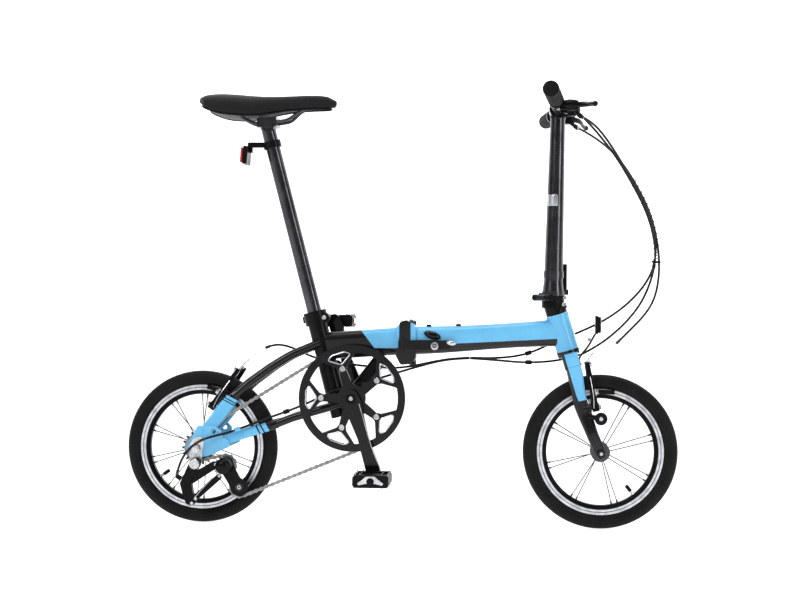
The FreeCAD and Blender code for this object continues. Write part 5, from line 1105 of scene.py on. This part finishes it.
# ---------------------------------------------------------------- derailleur
def make_derailleur_trim():
    """Caps, pins and bolts of the derailleur, its knuckle's dome and the cable adjuster."""
    outer = Vector(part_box("derailleur_knuckle")[0]).y
    hanger_bolt = at(-0.001, outer, 0.133)
    lathe("hanger_bolt_cap", [(0, 0.0112), (0.0016, 0.0112), (0.0028, 0.01), (0.0029, 0.0045),
                              (0.0018, 0.004), (0.0018, 0.001)], hanger_bolt + LEFT * 0.0004, RIGHT, STEEL,
          "derailleur", 40)
    pins = ((-0.014, -0.0825, 0.104), (0.044, -0.0825, 0.132), (0.002, -0.0852, 0.06),
            (0.052, -0.0825, 0.108), (-0.006, -0.0852, 0.05))
    for k, spot in enumerate(pins):
        bolt(f"link_pin_{k}", at(*spot), RIGHT, 0.0034, 0.0012, "derailleur")
    for name, centre, y in (("guide", GUIDE, -0.0536), ("tension", TENSION, -0.0538)):
        spot = Vector((centre.x, y, centre.z))
        bolt(f"{name}_pulley_bolt", spot, RIGHT, 0.0042, 0.0022, "cage")
        lathe(f"{name}_pulley_ring", [(0, 0.0082), (0.0006, 0.0086), (0.0012, 0.0082), (0.0012, 0.007),
                                      (0.0004, 0.0066)], spot, RIGHT, DARK_STEEL, "cage", 36)
    dome = [(0.0012 * k, 0.0165 * math.cos(math.radians(8 * k))) for k in range(9)] + [(0.0102, 0.004)]
    knuckle = Vector((GUIDE.x, outer + 0.0062, GUIDE.z))
    lathe("cage_knuckle_dome", dome, knuckle, RIGHT, SATIN, "derailleur", 44)
    edge = [at(0.000, -0.084, 0.062), at(0.012, -0.0838, 0.078), at(0.038, -0.0834, 0.104)]
    add("link_edge", *tube(spline(edge, 8), 0.0013, 10), STEEL, "derailleur")
    adjuster = at(-0.03, -0.0785, 0.1)
    knurl = [(0.0, 0.004)] + ribs(0.001, 0.0013, 0.0052, 0.0047, 8)
    lathe("gear_adjuster", knurl + [(0.013, 0.0032)], adjuster, (-0.4, -0.1, 0.3), PLASTIC, "derailleur", 28)


def make_reflectors():
    """The red and white lenses, and the small bolts of the front axle and bracket."""
    face = Vector((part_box("seat_reflector")[0][0] - 0.0006, 0, 0.79))
    tilt = Vector((0.07, 0, 1)).normalized()
    add("rear_lens", *slab(rounded_box(0.021, 0.0165, 0.004),
                           lambda u, v, h: face + LEFT * u + tilt * v + Vector((-1, 0, 0.07)) * (h - 0.001),
                           0.005, 0.0012), RED_LENS, "seat")
    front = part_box("front_bracket")[1]
    place = Vector((front[0] - 0.0004, 0, 0.431))
    add("front_lens", *slab(rounded_box(0.0185, 0.0155, 0.004),
                            lambda u, v, h: place + Vector((h, u, v)), 0.0022, 0.0008), WHITE_LENS, "fork")
    for side, word in ((1, "left"), (-1, "right")):
        end = at(0.851, side * 0.0578, 0.163)
        bolt(f"front_axle_bolt_{word}", end, LEFT * side, 0.0036, 0.0012, "fork")
    bolt("bracket_bolt", at(0.8265, -0.0095, 0.4), (0, -1, 0), 0.004, 0.0022, "fork")


def make_pedal_trim():
    """Plates, bearing caps and studs of both pedals, and the amber lenses of the left one."""
    for side, word in ((-1, "right"), (1, "left")):
        body = f"{word}_pedal"
        low, high = (Vector(v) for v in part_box(f"pedal_{word}"))
        centre = (low + high) / 2
        out = LEFT * side
        face = Vector((centre.x, high.y if side > 0 else low.y, centre.z))
        bow = [(-0.027, -0.0035), (-0.016, 0.0045), (-0.009, 0.0108), (0.009, 0.0108), (0.016, 0.0045),
               (0.027, -0.0035), (0.024, -0.0075), (0.01, -0.0042), (-0.01, -0.0042), (-0.024, -0.0075)]
        plate = slab(bow, lambda u, v, h: face + Vector((u, 0, v)) + out * (h - 0.0006), 0.0026)
        add(f"pedal_plate_{word}", *plate, ALUMINIUM, body)
        lathe(f"pedal_cap_{word}", [(0, 0.0078), (0.0012, 0.0078), (0.002, 0.0066), (0.0022, 0.003)],
              face + out * 0.0018, out, PLASTIC, body, 32)
        for k, u in enumerate((-0.034, -0.022, 0.022, 0.034)):
            for row in range(3):
                stud = Vector((centre.x + u, low.y + 0.012 + 0.033 * row, 0))
                for sense, height in ((1, high.z), (-1, low.z)):
                    stud.z = height - sense * 0.001
                    lathe(f"pedal_stud_{word}_{k}_{row}_{'top' if sense > 0 else 'foot'}",
                          [(0, 0.0015), (0.0032, 0.0013), (0.0036, 0.0006)],
                          stud, (0, 0, sense), STEEL, body, 10)
    # the left pedal came last, so low, high, centre and body are its own
    for end, x, place in ((-1, low.x, "rear"), (1, high.x, "front")):
        spot = Vector((x - end * 0.0006, centre.y, centre.z))
        lens_skin = slab(rounded_box(0.026, 0.006, 0.002), lambda u, v, h: spot + Vector((end * h, u, v)),
                         0.0028, 0.0008)
        add(f"pedal_lens_left_{place}", *lens_skin, AMBER_LENS, body)


# ---------------------------------------------------------------- finishes of the CAD's own pieces
def dress():
    """Gives every CAD node that still shows its finish."""
    beam_line = ((0.43, 0.383), (0.754, 0.401))
    blue_stays = striped((0.083, 0.2655), (0.057, 0.2795), [(0.006, 0.0082), (0.0112, 0.0134)])
    blue_chainstays = striped((0.155, 0.195), (0.1415, 0.2195), [(0.0095, 0.0125), (0.0185, 0.0215)])
    head = panel((0.7601, 0.3716), (0.84, 0.372), (0.84, 0.47), (0.735, 0.4535))
    fork = panel((0.7985, 0.285), (0.804, 0.271), (0.84, 0.279), (0.84, 0.374), (0.7712, 0.374))
    rear = panel((0.3721, 0.3784), (0.425, 0.3788), (0.425, 0.47), (0.3, 0.47))
    finishes = {
        "front_beam": paint("beam_front_paint", BLUE, above(*beam_line)),
        "rear_beam": paint("beam_rear_paint", BLUE, rear),
        "head_tube": paint("head_paint", BLUE, head),
        "fork_blades": paint("fork_paint", BLUE, fork),
        "fork_crown": paint("crown_paint", BLUE, fork),
        "headset_cups": paint("cup_paint", BLUE, above((0.7, 0.42), (0.85, 0.42))),
        "seatstays": paint("seatstay_paint", BLUE, blue_stays),
        "chainstays": paint("chainstay_paint", BLUE, blue_chainstays),
    }
    groups = {
        SATIN: "seat_tube seat_clamp_collar seat_clamp_lever front_bracket handlepost_base "
               "brake_blade_left brake_blade_right front_brake_arm_right front_brake_arm_left "
               "rear_brake_arm_right rear_brake_arm_left lever_perches seat_reflector derailleur_cage",
        GLOSS: "crank_right crank_left chainring frame_latch_lever handlepost_latch stem_clamp front_axle",
        ANODISED: "seatpost handlepost handlebar front_hub rear_hub",
        PLASTIC: "pedal_right pedal_left guide_pulley tension_pulley shifter_lever derailleur_knuckle",
        ALUMINIUM: "derailleur_hanger",
        STEEL: "hinge_pin rear_axle",
        DARK_STEEL: "bottom_bracket cassette front_spokes rear_spokes saddle_rails",
    }
    for finish, names in groups.items():
        finishes.update({name: finish for name in names.split()})
    finishes["front_rim"] = rim_finish("rim_front_finish", FRONT_AXLE)
    finishes["rear_rim"] = rim_finish("rim_rear_finish", REAR_AXLE)
    for name, finish in finishes.items():
        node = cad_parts[name]
        for slot in node.material_slots:
            slot.material = finish


set_stage()
make_cords()
dress()
make_spiral_wrap()
make_cable_fittings()
for prefix, axle, pairs, first, valve in (("front", FRONT_AXLE, 8, 15.9, -52),
                                          ("rear", REAR_AXLE, 10, 16, 216)):
    make_tyre(prefix + "_tyre_skin", axle, prefix + "_wheel", prefix + "_tyre")
    make_valve(prefix + "_valve", axle, valve, prefix + "_wheel")
    make_nipples(prefix + "_nipples", axle, pairs, first, prefix + "_wheel")
make_chain()
make_crankset_trim()
make_saddle()
make_bar_trim()
make_post_trim()
make_hinge_trim()
make_brakes()
make_derailleur_trim()
make_reflectors()
make_pedal_trim()
